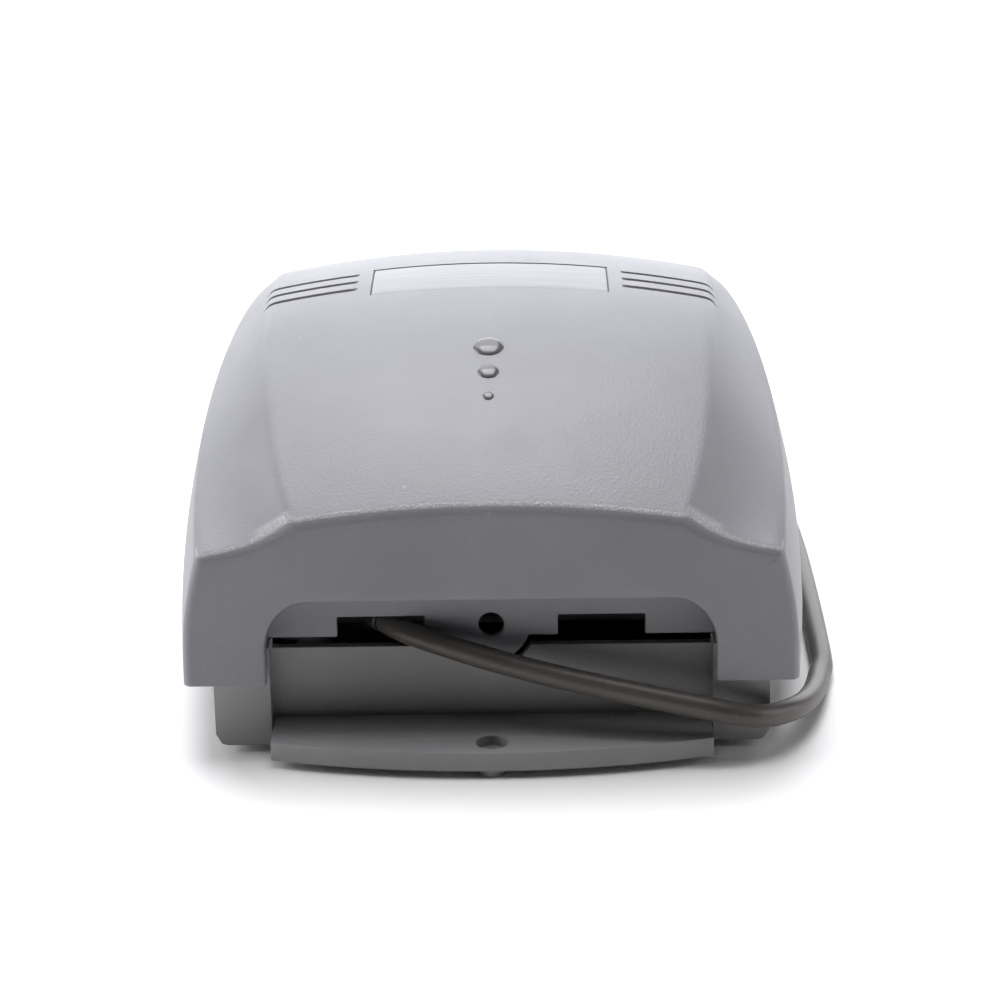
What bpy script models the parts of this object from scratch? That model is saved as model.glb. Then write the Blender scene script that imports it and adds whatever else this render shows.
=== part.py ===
"""Countertop banknote validator: a shuttle unit that draws a note in at the front and hands it back.

+Y is the front (the note inlet), -Y the rear (the cord recess), +Z up and the table at z = 0.
Lengths are metres. A station is a distance forward of the plane of the cover's rear wall.
"""
import math

import bmesh
import bpy
from mathutils import Matrix, Vector

for old in list(bpy.data.objects):
    bpy.data.objects.remove(old, do_unlink=True)

# --- driving dimensions -------------------------------------------------------------------------
GAP = 0.0003                    # between pieces that touch
STEEL_GAP = 0.0003              # running clearance of a pin or shaft in its hole
REAR_WALL_Y = -0.070            # where station 0 lies

FOOT_HEIGHT = 0.0017
BASE_HALF_WIDTH = 0.0584
BASE_WALL = 0.0022
BASE_REAR = 0.0045              # station of the two rear blocks' faces
BASE_FRONT = 0.1385
BASE_TOP = 0.0237
BASE_EDGE_RADIUS = 0.0025

RECESS_HALF_WIDTH = 0.0469
RECESS_TOP = 0.0357
RECESS_CORNER = 0.0090
RECESS_DEPTH = 0.0100
RECESS_WALL = 0.0020
TRAY_TOP = 0.0058
TRAY_HALF_WIDTH = 0.0462
TRAY_REACH = 0.0100             # how far the tray's lip stands behind the rear wall
TRAY_ARC_RADIUS = 0.1660
TRAY_HOLE_RADIUS = 0.0034
TRAY_HOLE_STATION = -0.0045
HUB_RADIUS = 0.0029
LOWER_WALL_TOP = 0.0216

PLATE_BOTTOM = 0.0238
TAB_HEIGHT = 0.0262             # height of the centre of the screw hole in the tab
TAB_RADIUS = 0.0082
TAB_GAP = 0.0014
TAB_HOLE_RADIUS = 0.0027
NOTCH_INNER = 0.0141
NOTCH_OUTER = 0.0324
NOTCH_TOP = 0.0283

COVER_WALL = 0.0025
COVER_BOTTOM = 0.0172
COVER_HALF_WIDTH = 0.0700
COVER_REAR_TAPER = 0.0060       # how much narrower each side is at the rear wall
COVER_FRONT_TAPER = 0.0035
WIDEST_STATION = 0.0620
COVER_LENGTH = 0.1454
CROWN_HEIGHT = 0.0823
CROWN_STATION = 0.0860
CROWN_RADIUS = 0.1530           # of the top's profile along the centre plane
CROSS_RADIUS = 0.2500           # of the raised panel across the top
NOSE_STATION = 0.1250
NOSE_RADIUS = 0.0100
FRONT_SLOPE = math.radians(70.0)
INLET_TOP = 0.0340
PANEL_REAR_HALF = 0.0400
PANEL_GROWTH = 0.0105
PANEL_GROWTH_LENGTH = 0.0250
RIDGE_RADIUS = 0.0016
# Half width and height of the shoulder line, by station
SHOULDER_HALF = ((0.0, 0.0602), (0.030, 0.0626), (0.060, 0.0624), (0.090, 0.0603), (0.125, 0.0555))
SHOULDER_HEIGHT = ((0.0, 0.0458), (0.030, 0.0547), (0.060, 0.0612), (0.090, 0.0662), (0.125, 0.0682))
FLUTE_SAG = 0.0015              # hollow of the flute below a straight line, at the rear wall
FLUTE_LENGTH = 0.1000           # station where the flute has run out
WALL_BULGE = 0.0012

BADGE_HALF_WIDTH = 0.0270
BADGE_REAR = 0.0743
BADGE_FRONT = 0.0951
BADGE_DEPTH = 0.0010
GROOVE_STATIONS = (0.0795, 0.0852, 0.0914)
GROOVE_INNER = 0.0305
GROOVE_OUTER = 0.0522
GROOVE_WIDTH = 0.0018
GROOVE_DEPTH = 0.0010
BADGE_THICKNESS = 0.0006
DROPS = ((0.0450, 0.0033, 0.0010), (0.0360, 0.0023, 0.0008), (0.0281, 0.0012, 0.0005))

HINGE_STATION = 0.1240
HINGE_HEIGHT = 0.0610
HINGE_PIN_RADIUS = 0.0020
EAR_RADIUS = 0.0055
LUG_INNER = 0.0512
LUG_OUTER = 0.0540

FRAME_X = 0.0485                # inner face of each side frame
FRAME_THICKNESS = 0.0015
SHAFT_RADIUS = 0.0020
SHAFT_HEIGHT = 0.0170
FRONT_SHAFT = 0.1080
REAR_SHAFT = 0.0620
SHAFT_HALF_LENGTH = 0.0555
ROLLER_RADIUS = 0.0075
ROLLER_X = 0.0220
ROLLER_WIDTH = 0.0100
NIP = 0.0004                    # note gap between a drive roller and its pinch roller
PINCH_RADIUS = 0.0050
BUSH_RADIUS = 0.0036
BUSH_LENGTH = 0.0030

GUIDE_HALF_WIDTH = 0.0450
GUIDE_TOP = 0.0240
GUIDE_THICKNESS = 0.0018
GUIDE_REAR = 0.0215
GUIDE_FRONT = 0.1255
NOTE_GAP = 0.0020
MOUTH_CHEEK_TOP = 0.0275        # the front wall's lip sweeps just above it as the cover opens
SENSOR_STATION = 0.0850

GEAR_MODULE = 0.0008
PINION_TEETH = 12
GEAR_TEETH = 28
GEAR_X = 0.0515
GEAR_WIDTH = 0.0030
MOTOR_HEIGHT = 0.0135
MOTOR_RADIUS = 0.0080
MOTOR_LENGTH = 0.0180
PULLEY_RADIUS = 0.0060
BELT_THICKNESS = 0.0012

WINDOW_ALONG = 0.0110           # distances down the front slope
WINDOW_HALF = 0.0260
WINDOW_TALL = 0.0140
BUTTON_ALONG = 0.0265
BUTTON_RADIUS = 0.0047
BUTTON_SPACING = 0.0170
BUTTON_TRAVEL = 0.0010
BUTTON_PROUD = 0.0012

CORD_DIAMETER = 0.0050
COIL_X = 0.0390
COIL_Y = 0.1300
COIL_TURN_RADIUS = 0.0300       # radius of the middle turn
COIL_BAND = 0.0155
COIL_HEIGHT = 0.0102
PLUG_LENGTH = 0.0350
PLUG_HALF_WIDTH = 0.0130
PLUG_THICKNESS = 0.0137
PIN_RADIUS = 0.0020
PIN_LENGTH = 0.0190
PIN_SPACING = 0.0093
# Route as (x, station, height): out of the left notch, across the recess, round the right side
# of the base, and forward along the table to the coil.
CORD_ROUTE = (
    (-0.0224, 0.0142, 0.0257), (-0.0203, 0.0117, 0.0254), (-0.0176, 0.0092, 0.0251),
    (-0.0141, 0.0070, 0.0246), (-0.0085, 0.0050, 0.0234), (0.0000, 0.0034, 0.0211),
    (0.0132, 0.0010, 0.0182), (0.0296, -0.0018, 0.0153), (0.0451, -0.0032, 0.0123),
    (0.0527, -0.0026, 0.0104), (0.0580, 0.0004, 0.0090), (0.0633, 0.0062, 0.0078),
    (0.0671, 0.0146, 0.0060), (0.0700, 0.0252, 0.0041), (0.0719, 0.0355, 0.0029),
    (0.0732, 0.0430, 0.0025), (0.0737, 0.0600, 0.0025), (0.0740, 0.0850, 0.0025),
    (0.0740, 0.1150, 0.0025), (0.0732, 0.1380, 0.0025), (0.0711, 0.1530, 0.0025),
    (0.0695, 0.1650, 0.0025), (0.0690, 0.1732, 0.0025))
TAIL_ROUTE = (
    (0.0120, 0.2300, 0.0025), (0.0060, 0.2300, 0.0027), (0.0000, 0.2300, 0.0036),
    (-0.0070, 0.2300, 0.0054), (-0.0140, 0.2300, 0.0066), (-0.0200, 0.2300, 0.0069))
GLAND_LENGTH = 0.0045
GLAND_RADIUS = 0.0029

BASE_FLOOR_TOP = FOOT_HEIGHT + BASE_WALL
GUIDE_BOTTOM = GUIDE_TOP - GUIDE_THICKNESS
UPPER_GUIDE_BOTTOM = GUIDE_TOP + NOTE_GAP
PINCH_HEIGHT = SHAFT_HEIGHT + ROLLER_RADIUS + NIP + PINCH_RADIUS
GEAR_DISTANCE = GEAR_MODULE * (PINION_TEETH + GEAR_TEETH) / 2
MOTOR_STATION = FRONT_SHAFT - math.sqrt(GEAR_DISTANCE ** 2 - (SHAFT_HEIGHT - MOTOR_HEIGHT) ** 2)


def y_of(station):
    """World Y of a distance forward of the rear wall."""
    return REAR_WALL_Y + station


# --- small toolkit ------------------------------------------------------------------------------
def material(name, colour, roughness, metallic=0.0, alpha=1.0):
    """A plain named material, made once."""
    found = bpy.data.materials.get(name)
    if found:
        return found
    made = bpy.data.materials.new(name)
    made.use_nodes = True
    shader = made.node_tree.nodes["Principled BSDF"]
    shader.inputs["Base Color"].default_value = (*colour, 1.0)
    shader.inputs["Roughness"].default_value = roughness
    shader.inputs["Metallic"].default_value = metallic
    shader.inputs["Alpha"].default_value = alpha
    return made


def publish(name, mesh_data, look=None, smooth_angle=35.0):
    """Turn a bmesh into a named object with its normals pointing out."""
    bmesh.ops.remove_doubles(mesh_data, verts=mesh_data.verts, dist=1e-6)
    bmesh.ops.recalc_face_normals(mesh_data, faces=mesh_data.faces)
    bmesh.ops.triangulate(mesh_data, faces=mesh_data.faces)
    mesh = bpy.data.meshes.new(name)
    mesh_data.to_mesh(mesh)
    mesh_data.free()
    mesh.shade_smooth()
    mesh.set_sharp_from_angle(angle=math.radians(smooth_angle))
    made = bpy.data.objects.new(name, mesh)
    bpy.context.scene.collection.objects.link(made)
    if look:
        mesh.materials.append(look)
    return made


def skin(rings, closed=False):
    """Bridge equal rings of points into a closed body; the end rings are capped unless closed."""
    data = bmesh.new()
    rows = [[data.verts.new(point) for point in ring] for ring in rings]
    count = len(rows[0])
    pairs = list(zip(rows, rows[1:]))
    if closed:
        pairs.append((rows[-1], rows[0]))
    for low, high in pairs:
        for i in range(count):
            j = (i + 1) % count
            data.faces.new((low[i], low[j], high[j], high[i]))
    if not closed:
        data.faces.new(list(reversed(rows[0])))
        data.faces.new(rows[-1])
    return data


def box(name, low, high, look=None):
    """A block between two corners (x, y, z)."""
    (x0, y0, z0), (x1, y1, z1) = low, high
    outline = ((x0, y0), (x1, y0), (x1, y1), (x0, y1))
    return prism(name, outline, z0, z1, look)


def prism(name, outline, low, high, look=None):
    """An outline in X and Y raised from one height to another."""
    return publish(name, skin([[(x, y, z) for x, y in outline] for z in (low, high)]), look)


def side_prism(name, outline, x0, x1, look=None):
    """An outline in Y and Z carried along X."""
    return publish(name, skin([[(x, y, z) for y, z in outline] for x in (x0, x1)]), look)


def circle(centre, radius, count=24, start=0.0):
    """Points of a circle in a plane, as pairs."""
    turn = 2 * math.pi / count
    return [(centre[0] + radius * math.cos(start + i * turn),
             centre[1] + radius * math.sin(start + i * turn)) for i in range(count)]


def turned_x(name, y, z, profile, look=None, count=24):
    """A solid turned about a line along X, from (x, radius) pairs."""
    rings = [[(x, py, pz) for py, pz in circle((y, z), radius, count)] for x, radius in profile]
    return publish(name, skin(rings), look)


def sleeve_x(name, y, z, x0, x1, outer, inner, look=None, count=24):
    """A tube along X; outer and inner are radii, or outer is a loop of (y, z) points."""
    outside = outer if isinstance(outer, list) else circle((y, z), outer, count)
    inside = circle((y, z), inner, len(outside))
    rings = [[(x, *p) for p in loop] for x, loop in
             ((x0, outside), (x1, outside), (x1, inside), (x0, inside))]
    return publish(name, skin(rings, closed=True), look)


def upright(name, x, y, z0, z1, radius, look=None, count=20, top_radius=None):
    """A round post standing along Z, tapered when the top has its own radius."""
    rings = [[(px, py, z) for px, py in circle((x, y), r, count)]
             for z, r in ((z0, radius), (z1, top_radius or radius))]
    return publish(name, skin(rings), look)


def combine(target, tool, operation="DIFFERENCE"):
    """Cut a tool out of a piece, or grow the piece by it. The tool stays as a hidden guide."""
    tool.hide_render = True
    tool.display_type = "WIRE"
    change = target.modifiers.new(tool.name, "BOOLEAN")
    change.operation = operation
    change.object = tool
    change.solver = "EXACT"
    return target


GREY = material("grey_abs", (0.235, 0.235, 0.262), 0.55)
BASE_GREY = material("base_grey_abs", (0.205, 0.205, 0.228), 0.6)
BADGE = material("badge_grey", (0.42, 0.42, 0.46), 0.35)
BLACK = material("black_plastic", (0.025, 0.025, 0.028), 0.5)
DARK = material("dark_guide_plastic", (0.06, 0.06, 0.065), 0.45)
RUBBER = material("rubber", (0.03, 0.03, 0.03), 0.8)
STEEL = material("steel", (0.55, 0.55, 0.56), 0.3, 1.0)
ZINC = material("zinc_steel", (0.45, 0.45, 0.47), 0.4, 1.0)
BRASS = material("brass", (0.70, 0.52, 0.25), 0.35, 1.0)
WHITE = material("white_acetal", (0.75, 0.75, 0.72), 0.4)
BOARD = material("circuit_board", (0.03, 0.16, 0.08), 0.45)
GLASS = material("window_plastic", (0.05, 0.06, 0.07), 0.1)
CLEAR = material("sensor_window", (0.6, 0.65, 0.68), 0.05)
CORD = material("cord_pvc", (0.03, 0.027, 0.024), 0.4)


# --- the cover's outer form ---------------------------------------------------------------------
def top_line(station, inset=0.0):
    """Height of the cover's centre line: an arc, then a nose arc, then the straight front slope."""
    crown = CROWN_RADIUS - inset
    centre = CROWN_HEIGHT - CROWN_RADIUS
    lean = math.asin((NOSE_STATION - CROWN_STATION) / CROWN_RADIUS)
    nose_start = CROWN_STATION + crown * math.sin(lean)
    if station <= nose_start:
        return centre + math.sqrt(crown ** 2 - (station - CROWN_STATION) ** 2)
    hub_station = CROWN_STATION + (CROWN_RADIUS - NOSE_RADIUS) * math.sin(lean)
    hub_height = centre + (CROWN_RADIUS - NOSE_RADIUS) * math.cos(lean)
    nose = NOSE_RADIUS - inset
    nose_end = hub_station + nose * math.sin(FRONT_SLOPE)
    if station <= nose_end:
        return hub_height + math.sqrt(nose ** 2 - (station - hub_station) ** 2)
    end_height = hub_height + nose * math.cos(FRONT_SLOPE)
    return end_height - (station - nose_end) * math.tan(FRONT_SLOPE)


def half_width(station):
    """Half width of the cover's bottom edge."""
    if station < WIDEST_STATION:
        share = (WIDEST_STATION - station) / WIDEST_STATION
        return COVER_HALF_WIDTH - COVER_REAR_TAPER * min(share, 1.0) ** 1.25
    share = (station - WIDEST_STATION) / (COVER_LENGTH - WIDEST_STATION)
    return COVER_HALF_WIDTH - COVER_FRONT_TAPER * share ** 2.2


def along(station, table):
    """Smooth reading of (station, value) pairs."""
    if station <= table[0][0]:
        return table[0][1]
    for (s0, v0), (s1, v1) in zip(table, table[1:]):
        if station <= s1:
            t = (station - s0) / (s1 - s0)
            return v0 + (v1 - v0) * t
    return table[-1][1]


def half_section(station, inset=0.0, bottom=COVER_BOTTOM):
    """Right half of the cover's section as (x, z), from the centre line down to the bottom edge."""
    crest = top_line(station, inset)
    panel = PANEL_REAR_HALF + PANEL_GROWTH * (1 - math.exp(-station / PANEL_GROWTH_LENGTH)) - inset / 2
    shoulder_x = along(station, SHOULDER_HALF) - inset
    shoulder_z = along(station, SHOULDER_HEIGHT) - inset
    if station > NOSE_STATION:
        shoulder_z = crest - (top_line(NOSE_STATION) - SHOULDER_HEIGHT[-1][1])
    points = []
    for i in range(6):
        x = panel * i / 5
        points.append((x, crest - x * x / (2 * CROSS_RADIUS)))
    edge_z = points[-1][1]
    sag = FLUTE_SAG * max(0.0, 1 - station / FLUTE_LENGTH)
    for t in (0.15, 0.38, 0.62, 0.85, 1.0):
        straight = edge_z + (shoulder_z - edge_z) * t
        points.append((panel + (shoulder_x - panel) * t, straight - sag * math.sin(math.pi * t ** 0.8)))
    foot_x = half_width(station) - inset
    for t in (0.06, 0.35, 0.7, 1.0):
        bulge = WALL_BULGE * math.sin(math.pi * t)
        points.append((shoulder_x + (foot_x - shoulder_x) * t + bulge,
                       shoulder_z + (bottom - shoulder_z) * t))
    return points


def cover_ring(station, inset=0.0, bottom=COVER_BOTTOM, shrink=0.0):
    """Whole section of the cover at a station; shrink pulls the edge in for the rear ridge."""
    right = half_section(station, inset, bottom)
    if shrink:
        right = [(x - shrink * x / COVER_HALF_WIDTH, max(z - shrink, bottom)) for x, z in right]
    left = [(-x, z) for x, z in reversed(right[1:])]
    return [(x, y_of(station), z) for x, z in left + right]


def top_height(x, station):
    """Height of the raised panel's surface."""
    return top_line(station) - x * x / (2 * CROSS_RADIUS)


def make_cover():
    """The domed top cover: a shell with the rear recess, its plate, grooves, drops and openings."""
    stations = [0.0015, 0.008, 0.018, 0.030, 0.045, 0.060, 0.075, 0.090, 0.105, 0.117,
                0.125, 0.1275, 0.1300, 0.1322, 0.1385, COVER_LENGTH]
    rings = [[(x, y_of(0.0), z) for x, _, z in cover_ring(0.0015, shrink=RIDGE_RADIUS)]]
    rings += [cover_ring(s) for s in stations]
    cover = publish("top_cover", skin(rings), GREY)

    low = COVER_BOTTOM - 0.006
    inner = [COVER_WALL, 0.010, 0.022, 0.040, 0.060, 0.080, 0.100, 0.117, 0.1245, 0.1270, 0.1292,
             0.1300, 0.1360, COVER_LENGTH - 0.0030]
    hollow = publish("cover_hollow", skin([cover_ring(s, COVER_WALL, low) for s in inner]))
    pocket = RECESS_HALF_WIDTH + RECESS_WALL
    combine(hollow, box("cover_pocket", (-pocket, y_of(-0.005), BASE_TOP + GAP),
                        (pocket, y_of(RECESS_DEPTH + RECESS_WALL), RECESS_TOP + RECESS_WALL)))
    for side, word in ((-1, "left"), (1, "right")):
        x0, x1 = sorted((side * LUG_INNER, side * LUG_OUTER))
        combine(hollow, box("hinge_lug_" + word,
                            (x0, y_of(HINGE_STATION - EAR_RADIUS), HINGE_HEIGHT - EAR_RADIUS),
                            (x1, y_of(HINGE_STATION + EAR_RADIUS), CROWN_HEIGHT)))
    combine(cover, hollow)

    # arched opening of the recess, with its rounded top corners
    arch = [(-RECESS_HALF_WIDTH, low), (RECESS_HALF_WIDTH, low)]
    for i in range(7):
        angle = math.pi / 2 * i / 6
        arch.append((RECESS_HALF_WIDTH - RECESS_CORNER * (1 - math.cos(angle)),
                     RECESS_TOP - RECESS_CORNER * 1.2 * (1 - math.sin(angle))))
    arch += [(-x, z) for x, z in reversed(arch[2:])]
    ends = (y_of(-0.002), y_of(RECESS_DEPTH))
    opening = publish("recess_opening", skin([[(x, y, z) for x, z in arch] for y in ends]))
    combine(cover, opening)

    # the plate's lower edge, its tab and its two notches
    trim = box("plate_trim", (-pocket - 0.001, y_of(RECESS_DEPTH - 0.001), low),
               (pocket + 0.001, y_of(RECESS_DEPTH + RECESS_WALL + 0.001), PLATE_BOTTOM))
    tab_ends = (y_of(RECESS_DEPTH - 0.002), y_of(RECESS_DEPTH + RECESS_WALL + 0.002))
    tab_loop = circle((0.0, TAB_HEIGHT), TAB_RADIUS, 32)
    combine(trim, publish("plate_tab", skin([[(x, y, z) for x, z in tab_loop] for y in tab_ends])))
    combine(cover, trim)
    for side, word in ((-1, "left"), (1, "right")):
        x0, x1 = sorted((side * NOTCH_INNER, side * NOTCH_OUTER))
        combine(cover, box("notch_" + word, (x0, y_of(RECESS_DEPTH - 0.001), low),
                           (x1, y_of(RECESS_DEPTH + RECESS_WALL + 0.001), NOTCH_TOP)))
    hole = circle((0.0, TAB_HEIGHT), TAB_HOLE_RADIUS, 20)
    combine(cover, publish("tab_hole", skin([[(x, y, z) for x, z in hole] for y in tab_ends])))

    # front: open below the slope, so that the cover swings clear of the base
    combine(cover, box("front_opening", (-BASE_HALF_WIDTH - 0.0008, y_of(BASE_FRONT - 0.004), low),
                       (BASE_HALF_WIDTH + 0.0008, y_of(COVER_LENGTH + 0.004), INLET_TOP + 0.0004)))

    # badge recess, level floor across the top
    combine(cover, badge_block("badge_recess", 0.0, 0.010))
    for side in (-1, 1):
        for number, station in enumerate(GROOVE_STATIONS, 1):
            word = "left" if side < 0 else "right"
            combine(cover, groove("groove_%s_%d" % (word, number), side, station))
    for number, (station, radius, height) in enumerate(DROPS, 1):
        combine(cover, drop("drop_%d" % number, station, radius, height), "UNION")

    # holes for the hinge pins, the display window and the three buttons
    for side, word in ((-1, "left"), (1, "right")):
        x0, x1 = sorted((side * (LUG_INNER - 0.001), side * (LUG_OUTER + 0.0003)))
        bore = HINGE_PIN_RADIUS + STEEL_GAP
        combine(cover, turned_x("lug_bore_" + word, y_of(HINGE_STATION), HINGE_HEIGHT,
                                ((x0, bore), (x1, bore)), count=16))
    combine(cover, panel_block("window_opening", 0.0, WINDOW_ALONG, WINDOW_HALF, WINDOW_TALL / 2,
                               -0.006, 0.004))
    for i in (-1, 0, 1):
        combine(cover, panel_round("button_hole_%d" % (i + 2), i * BUTTON_SPACING, BUTTON_ALONG,
                                   BUTTON_RADIUS + 2 * STEEL_GAP, -0.006, 0.004))
    return cover


def badge_block(name, low, high, margin=0.0):
    """The badge's block, between two heights above its floor, which follows the top's curve."""
    half = BADGE_HALF_WIDTH - margin
    rear, front = BADGE_REAR + margin, BADGE_FRONT - margin
    edge = []
    for i in range(9):
        edge.append((half * (i / 4 - 1), rear))
    for i in range(9):
        edge.append((half * (1 - i / 4), front))
    rings = [[(x, y_of(s), top_height(x, s) - BADGE_DEPTH + lift) for x, s in edge] for lift in (low, high)]
    return publish(name, skin(rings))


def groove(name, side, station):
    """A shallow groove that follows the top across and down over the panel's edge."""
    half = GROOVE_WIDTH / 2
    steps = ((GROOVE_INNER, 0.0), (0.036, 0.0), (0.042, 0.0), (0.047, 0.0), (0.0500, 0.0002),
             (GROOVE_OUTER, 0.0010))
    section = half_section(station)

    def surface(x):
        for (xa, za), (xb, zb) in zip(section, section[1:]):
            if xa <= x <= xb:
                return za + (zb - za) * (x - xa) / (xb - xa)
        return section[-1][1]

    rings = []
    for x, slip in steps:
        z = surface(x)
        s = station - slip
        low, high = z - GROOVE_DEPTH, z + 0.003
        rings.append([(side * x, y_of(s - half), low), (side * x, y_of(s + half), low),
                      (side * x, y_of(s + half), high), (side * x, y_of(s - half), high)])
    return publish(name, skin(rings))


def drop(name, station, radius, height):
    """A low round drop that stands out of the top."""
    rings = []
    z = top_height(0.0, station)
    slope = (top_height(0.0, station + 0.001) - top_height(0.0, station - 0.001)) / 0.002
    for share, lift in ((1.0, -0.0008), (1.0, 0.0), (0.82, 0.55), (0.45, 0.9)):
        level = lift if lift <= 0 else lift * height
        rings.append([(x, y_of(station + dy), z + slope * dy + level)
                      for x, dy in circle((0.0, 0.0), radius * share, 16, math.pi / 16)])
    return publish(name, skin(rings))


# --- the sloped front panel ---------------------------------------------------------------------
def panel_frame():
    """Matrix whose X is across, Y down the slope and Z out of it, at the slope's upper end."""
    lean = math.asin((NOSE_STATION - CROWN_STATION) / CROWN_RADIUS)
    hub_station = CROWN_STATION + (CROWN_RADIUS - NOSE_RADIUS) * math.sin(lean)
    station = hub_station + NOSE_RADIUS * math.sin(FRONT_SLOPE)
    origin = Vector((0.0, y_of(station), top_line(station)))
    down = Vector((0.0, math.cos(FRONT_SLOPE), -math.sin(FRONT_SLOPE)))
    out = Vector((0.0, math.sin(FRONT_SLOPE), math.cos(FRONT_SLOPE)))
    across = down.cross(out)
    return Matrix.Translation(origin) @ Matrix((across, down, out)).transposed().to_4x4()


def panel_block(name, x, down, half_x, half_down, low, high, look=None):
    """A block square to the front slope, from one depth to another along its normal."""
    frame = panel_frame()
    corners = ((x - half_x, down - half_down), (x + half_x, down - half_down),
               (x + half_x, down + half_down), (x - half_x, down + half_down))
    rings = [[frame @ Vector((cx, cy, z)) for cx, cy in corners] for z in (low, high)]
    return publish(name, skin(rings), look)


def panel_round(name, x, down, radius, low, high, look=None, count=20):
    """A round piece square to the front slope."""
    frame = panel_frame()
    outline = circle((x, down), radius, count, math.pi / count)
    rings = [[frame @ Vector((cx, cy, z)) for cx, cy in outline] for z in (low, high)]
    return publish(name, skin(rings), look)


def make_front_panel():
    """Display window and module, three buttons and the board behind them."""
    sag = WINDOW_HALF ** 2 / (2 * CROSS_RADIUS)
    panel_block("display_window", 0.0, WINDOW_ALONG, WINDOW_HALF - GAP, WINDOW_TALL / 2 - GAP,
                -COVER_WALL - sag, -0.0004 - sag * 0.3, GLASS)
    panel_block("display_module", 0.0, WINDOW_ALONG, WINDOW_HALF - 0.0015, WINDOW_TALL / 2 - 0.0008,
                -0.0100, -COVER_WALL - sag - GAP, BLACK)
    panel_block("control_board", 0.0, 0.0190, 0.0320, 0.0170, -0.0119, -0.0100 - GAP, BOARD)
    frame = panel_frame()
    for i, word in ((-1, "left"), (0, "centre"), (1, "right")):
        profile = ((-0.0066, 0.0016), (-0.0052, 0.0016), (-0.0052, BUTTON_RADIUS + 0.0012),
                   (-0.0042, BUTTON_RADIUS + 0.0012), (-0.0042, BUTTON_RADIUS),
                   (BUTTON_PROUD - 0.0005, BUTTON_RADIUS), (BUTTON_PROUD, BUTTON_RADIUS - 0.0007))
        centre = (i * BUTTON_SPACING, BUTTON_ALONG)
        rings = [[frame @ Vector((cx, cy, z)) for cx, cy in circle(centre, r, 20, math.pi / 20)] for z, r in profile]
        publish(word + "_button", skin(rings), BLACK)


# --- base ---------------------------------------------------------------------------------------
def base_outline(inset=0.0):
    """Plan of the base: a box with the wide rear recess between two blocks."""
    x = BASE_HALF_WIDTH - inset
    cheek = RECESS_HALF_WIDTH - 0.0004 + inset
    return [(-x, y_of(BASE_REAR + inset)), (-cheek, y_of(BASE_REAR + inset)),
            (-cheek, y_of(RECESS_DEPTH + inset)), (cheek, y_of(RECESS_DEPTH + inset)),
            (cheek, y_of(BASE_REAR + inset)), (x, y_of(BASE_REAR + inset)),
            (x, y_of(BASE_FRONT - inset)), (-x, y_of(BASE_FRONT - inset))]


def make_base():
    """The lower housing: floor, walls, rear wall with the tab's cut-out, tray with its lip, hub."""
    corner = BASE_EDGE_RADIUS
    rings = []
    for share in (0.0, 0.35, 1.0):
        pull = corner * (1 - math.sin(math.pi / 2 * share))
        rise = corner * (1 - math.cos(math.pi / 2 * share))
        rings.append([(math.copysign(abs(x) - pull, x) if abs(x) > RECESS_HALF_WIDTH else x, y,
                       FOOT_HEIGHT + rise) for x, y in base_outline()])
    rings.append([(x, y, BASE_TOP) for x, y in base_outline()])
    base = publish("base_housing", skin(rings), BASE_GREY)
    combine(base, prism("base_hollow", base_outline(BASE_WALL), BASE_FLOOR_TOP, BASE_TOP + 0.005))
    cheek = RECESS_HALF_WIDTH - 0.0006
    combine(base, box("wall_trim", (-cheek, y_of(RECESS_DEPTH - 0.001), LOWER_WALL_TOP),
                      (cheek, y_of(RECESS_DEPTH + BASE_WALL + 0.0005), BASE_TOP + 0.002)))
    ends = (y_of(RECESS_DEPTH - 0.001), y_of(RECESS_DEPTH + BASE_WALL + 0.0006))
    cut = circle((0.0, TAB_HEIGHT), TAB_RADIUS + TAB_GAP, 32)
    combine(base, publish("tab_cut", skin([[(x, y, z) for x, z in cut] for y in ends])))

    tray = []
    steps = 24
    for i in range(steps + 1):
        x = TRAY_HALF_WIDTH * (2 * i / steps - 1)
        drop_back = TRAY_ARC_RADIUS - math.sqrt(TRAY_ARC_RADIUS ** 2 - x * x)
        tray.append((x, y_of(-TRAY_REACH + drop_back)))
    tray += [(TRAY_HALF_WIDTH, y_of(RECESS_DEPTH + 0.001)), (-TRAY_HALF_WIDTH, y_of(RECESS_DEPTH + 0.001))]
    combine(base, prism("tray", tray, FOOT_HEIGHT, TRAY_TOP), "UNION")
    hub = upright("hub", 0.0, y_of(TRAY_HOLE_STATION - 0.0020), 0.0, FOOT_HEIGHT + 0.001,
                  HUB_RADIUS, count=28)
    combine(base, hub, "UNION")
    combine(base, upright("tray_hole", 0.0, y_of(TRAY_HOLE_STATION), 0.0036, TRAY_TOP + 0.002,
                          TRAY_HOLE_RADIUS, count=28))
    combine(base, box("inlet_seat", (-GUIDE_HALF_WIDTH - 0.0135, y_of(BASE_FRONT - BASE_WALL - 0.0005),
                                     GUIDE_BOTTOM - 0.0012),
                      (GUIDE_HALF_WIDTH + 0.0135, y_of(BASE_FRONT + 0.001), BASE_TOP + 0.002)))
    return base


def make_inlet_tray():
    """Dark tongue that leads a note in, with a cheek at each side of the mouth."""
    x = GUIDE_HALF_WIDTH
    low = GUIDE_BOTTOM - 0.0009
    tray = prism("inlet_tray", [(-x, y_of(GUIDE_FRONT + GAP)), (x, y_of(GUIDE_FRONT + GAP)),
                                (x, y_of(0.146)), (x - 0.004, y_of(0.150)), (0.004 - x, y_of(0.150)),
                                (-x, y_of(0.146))], low, GUIDE_TOP, DARK)
    for side, word in ((-1, "left"), (1, "right")):
        x0, x1 = sorted((side * (x - 0.0030), side * (BASE_HALF_WIDTH - BASE_WALL - GAP)))
        cheek = box("mouth_cheek_" + word, (x0, y_of(0.1275), low), (x1, y_of(0.1355), MOUTH_CHEEK_TOP))
        combine(tray, cheek, "UNION")
    return tray


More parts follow.
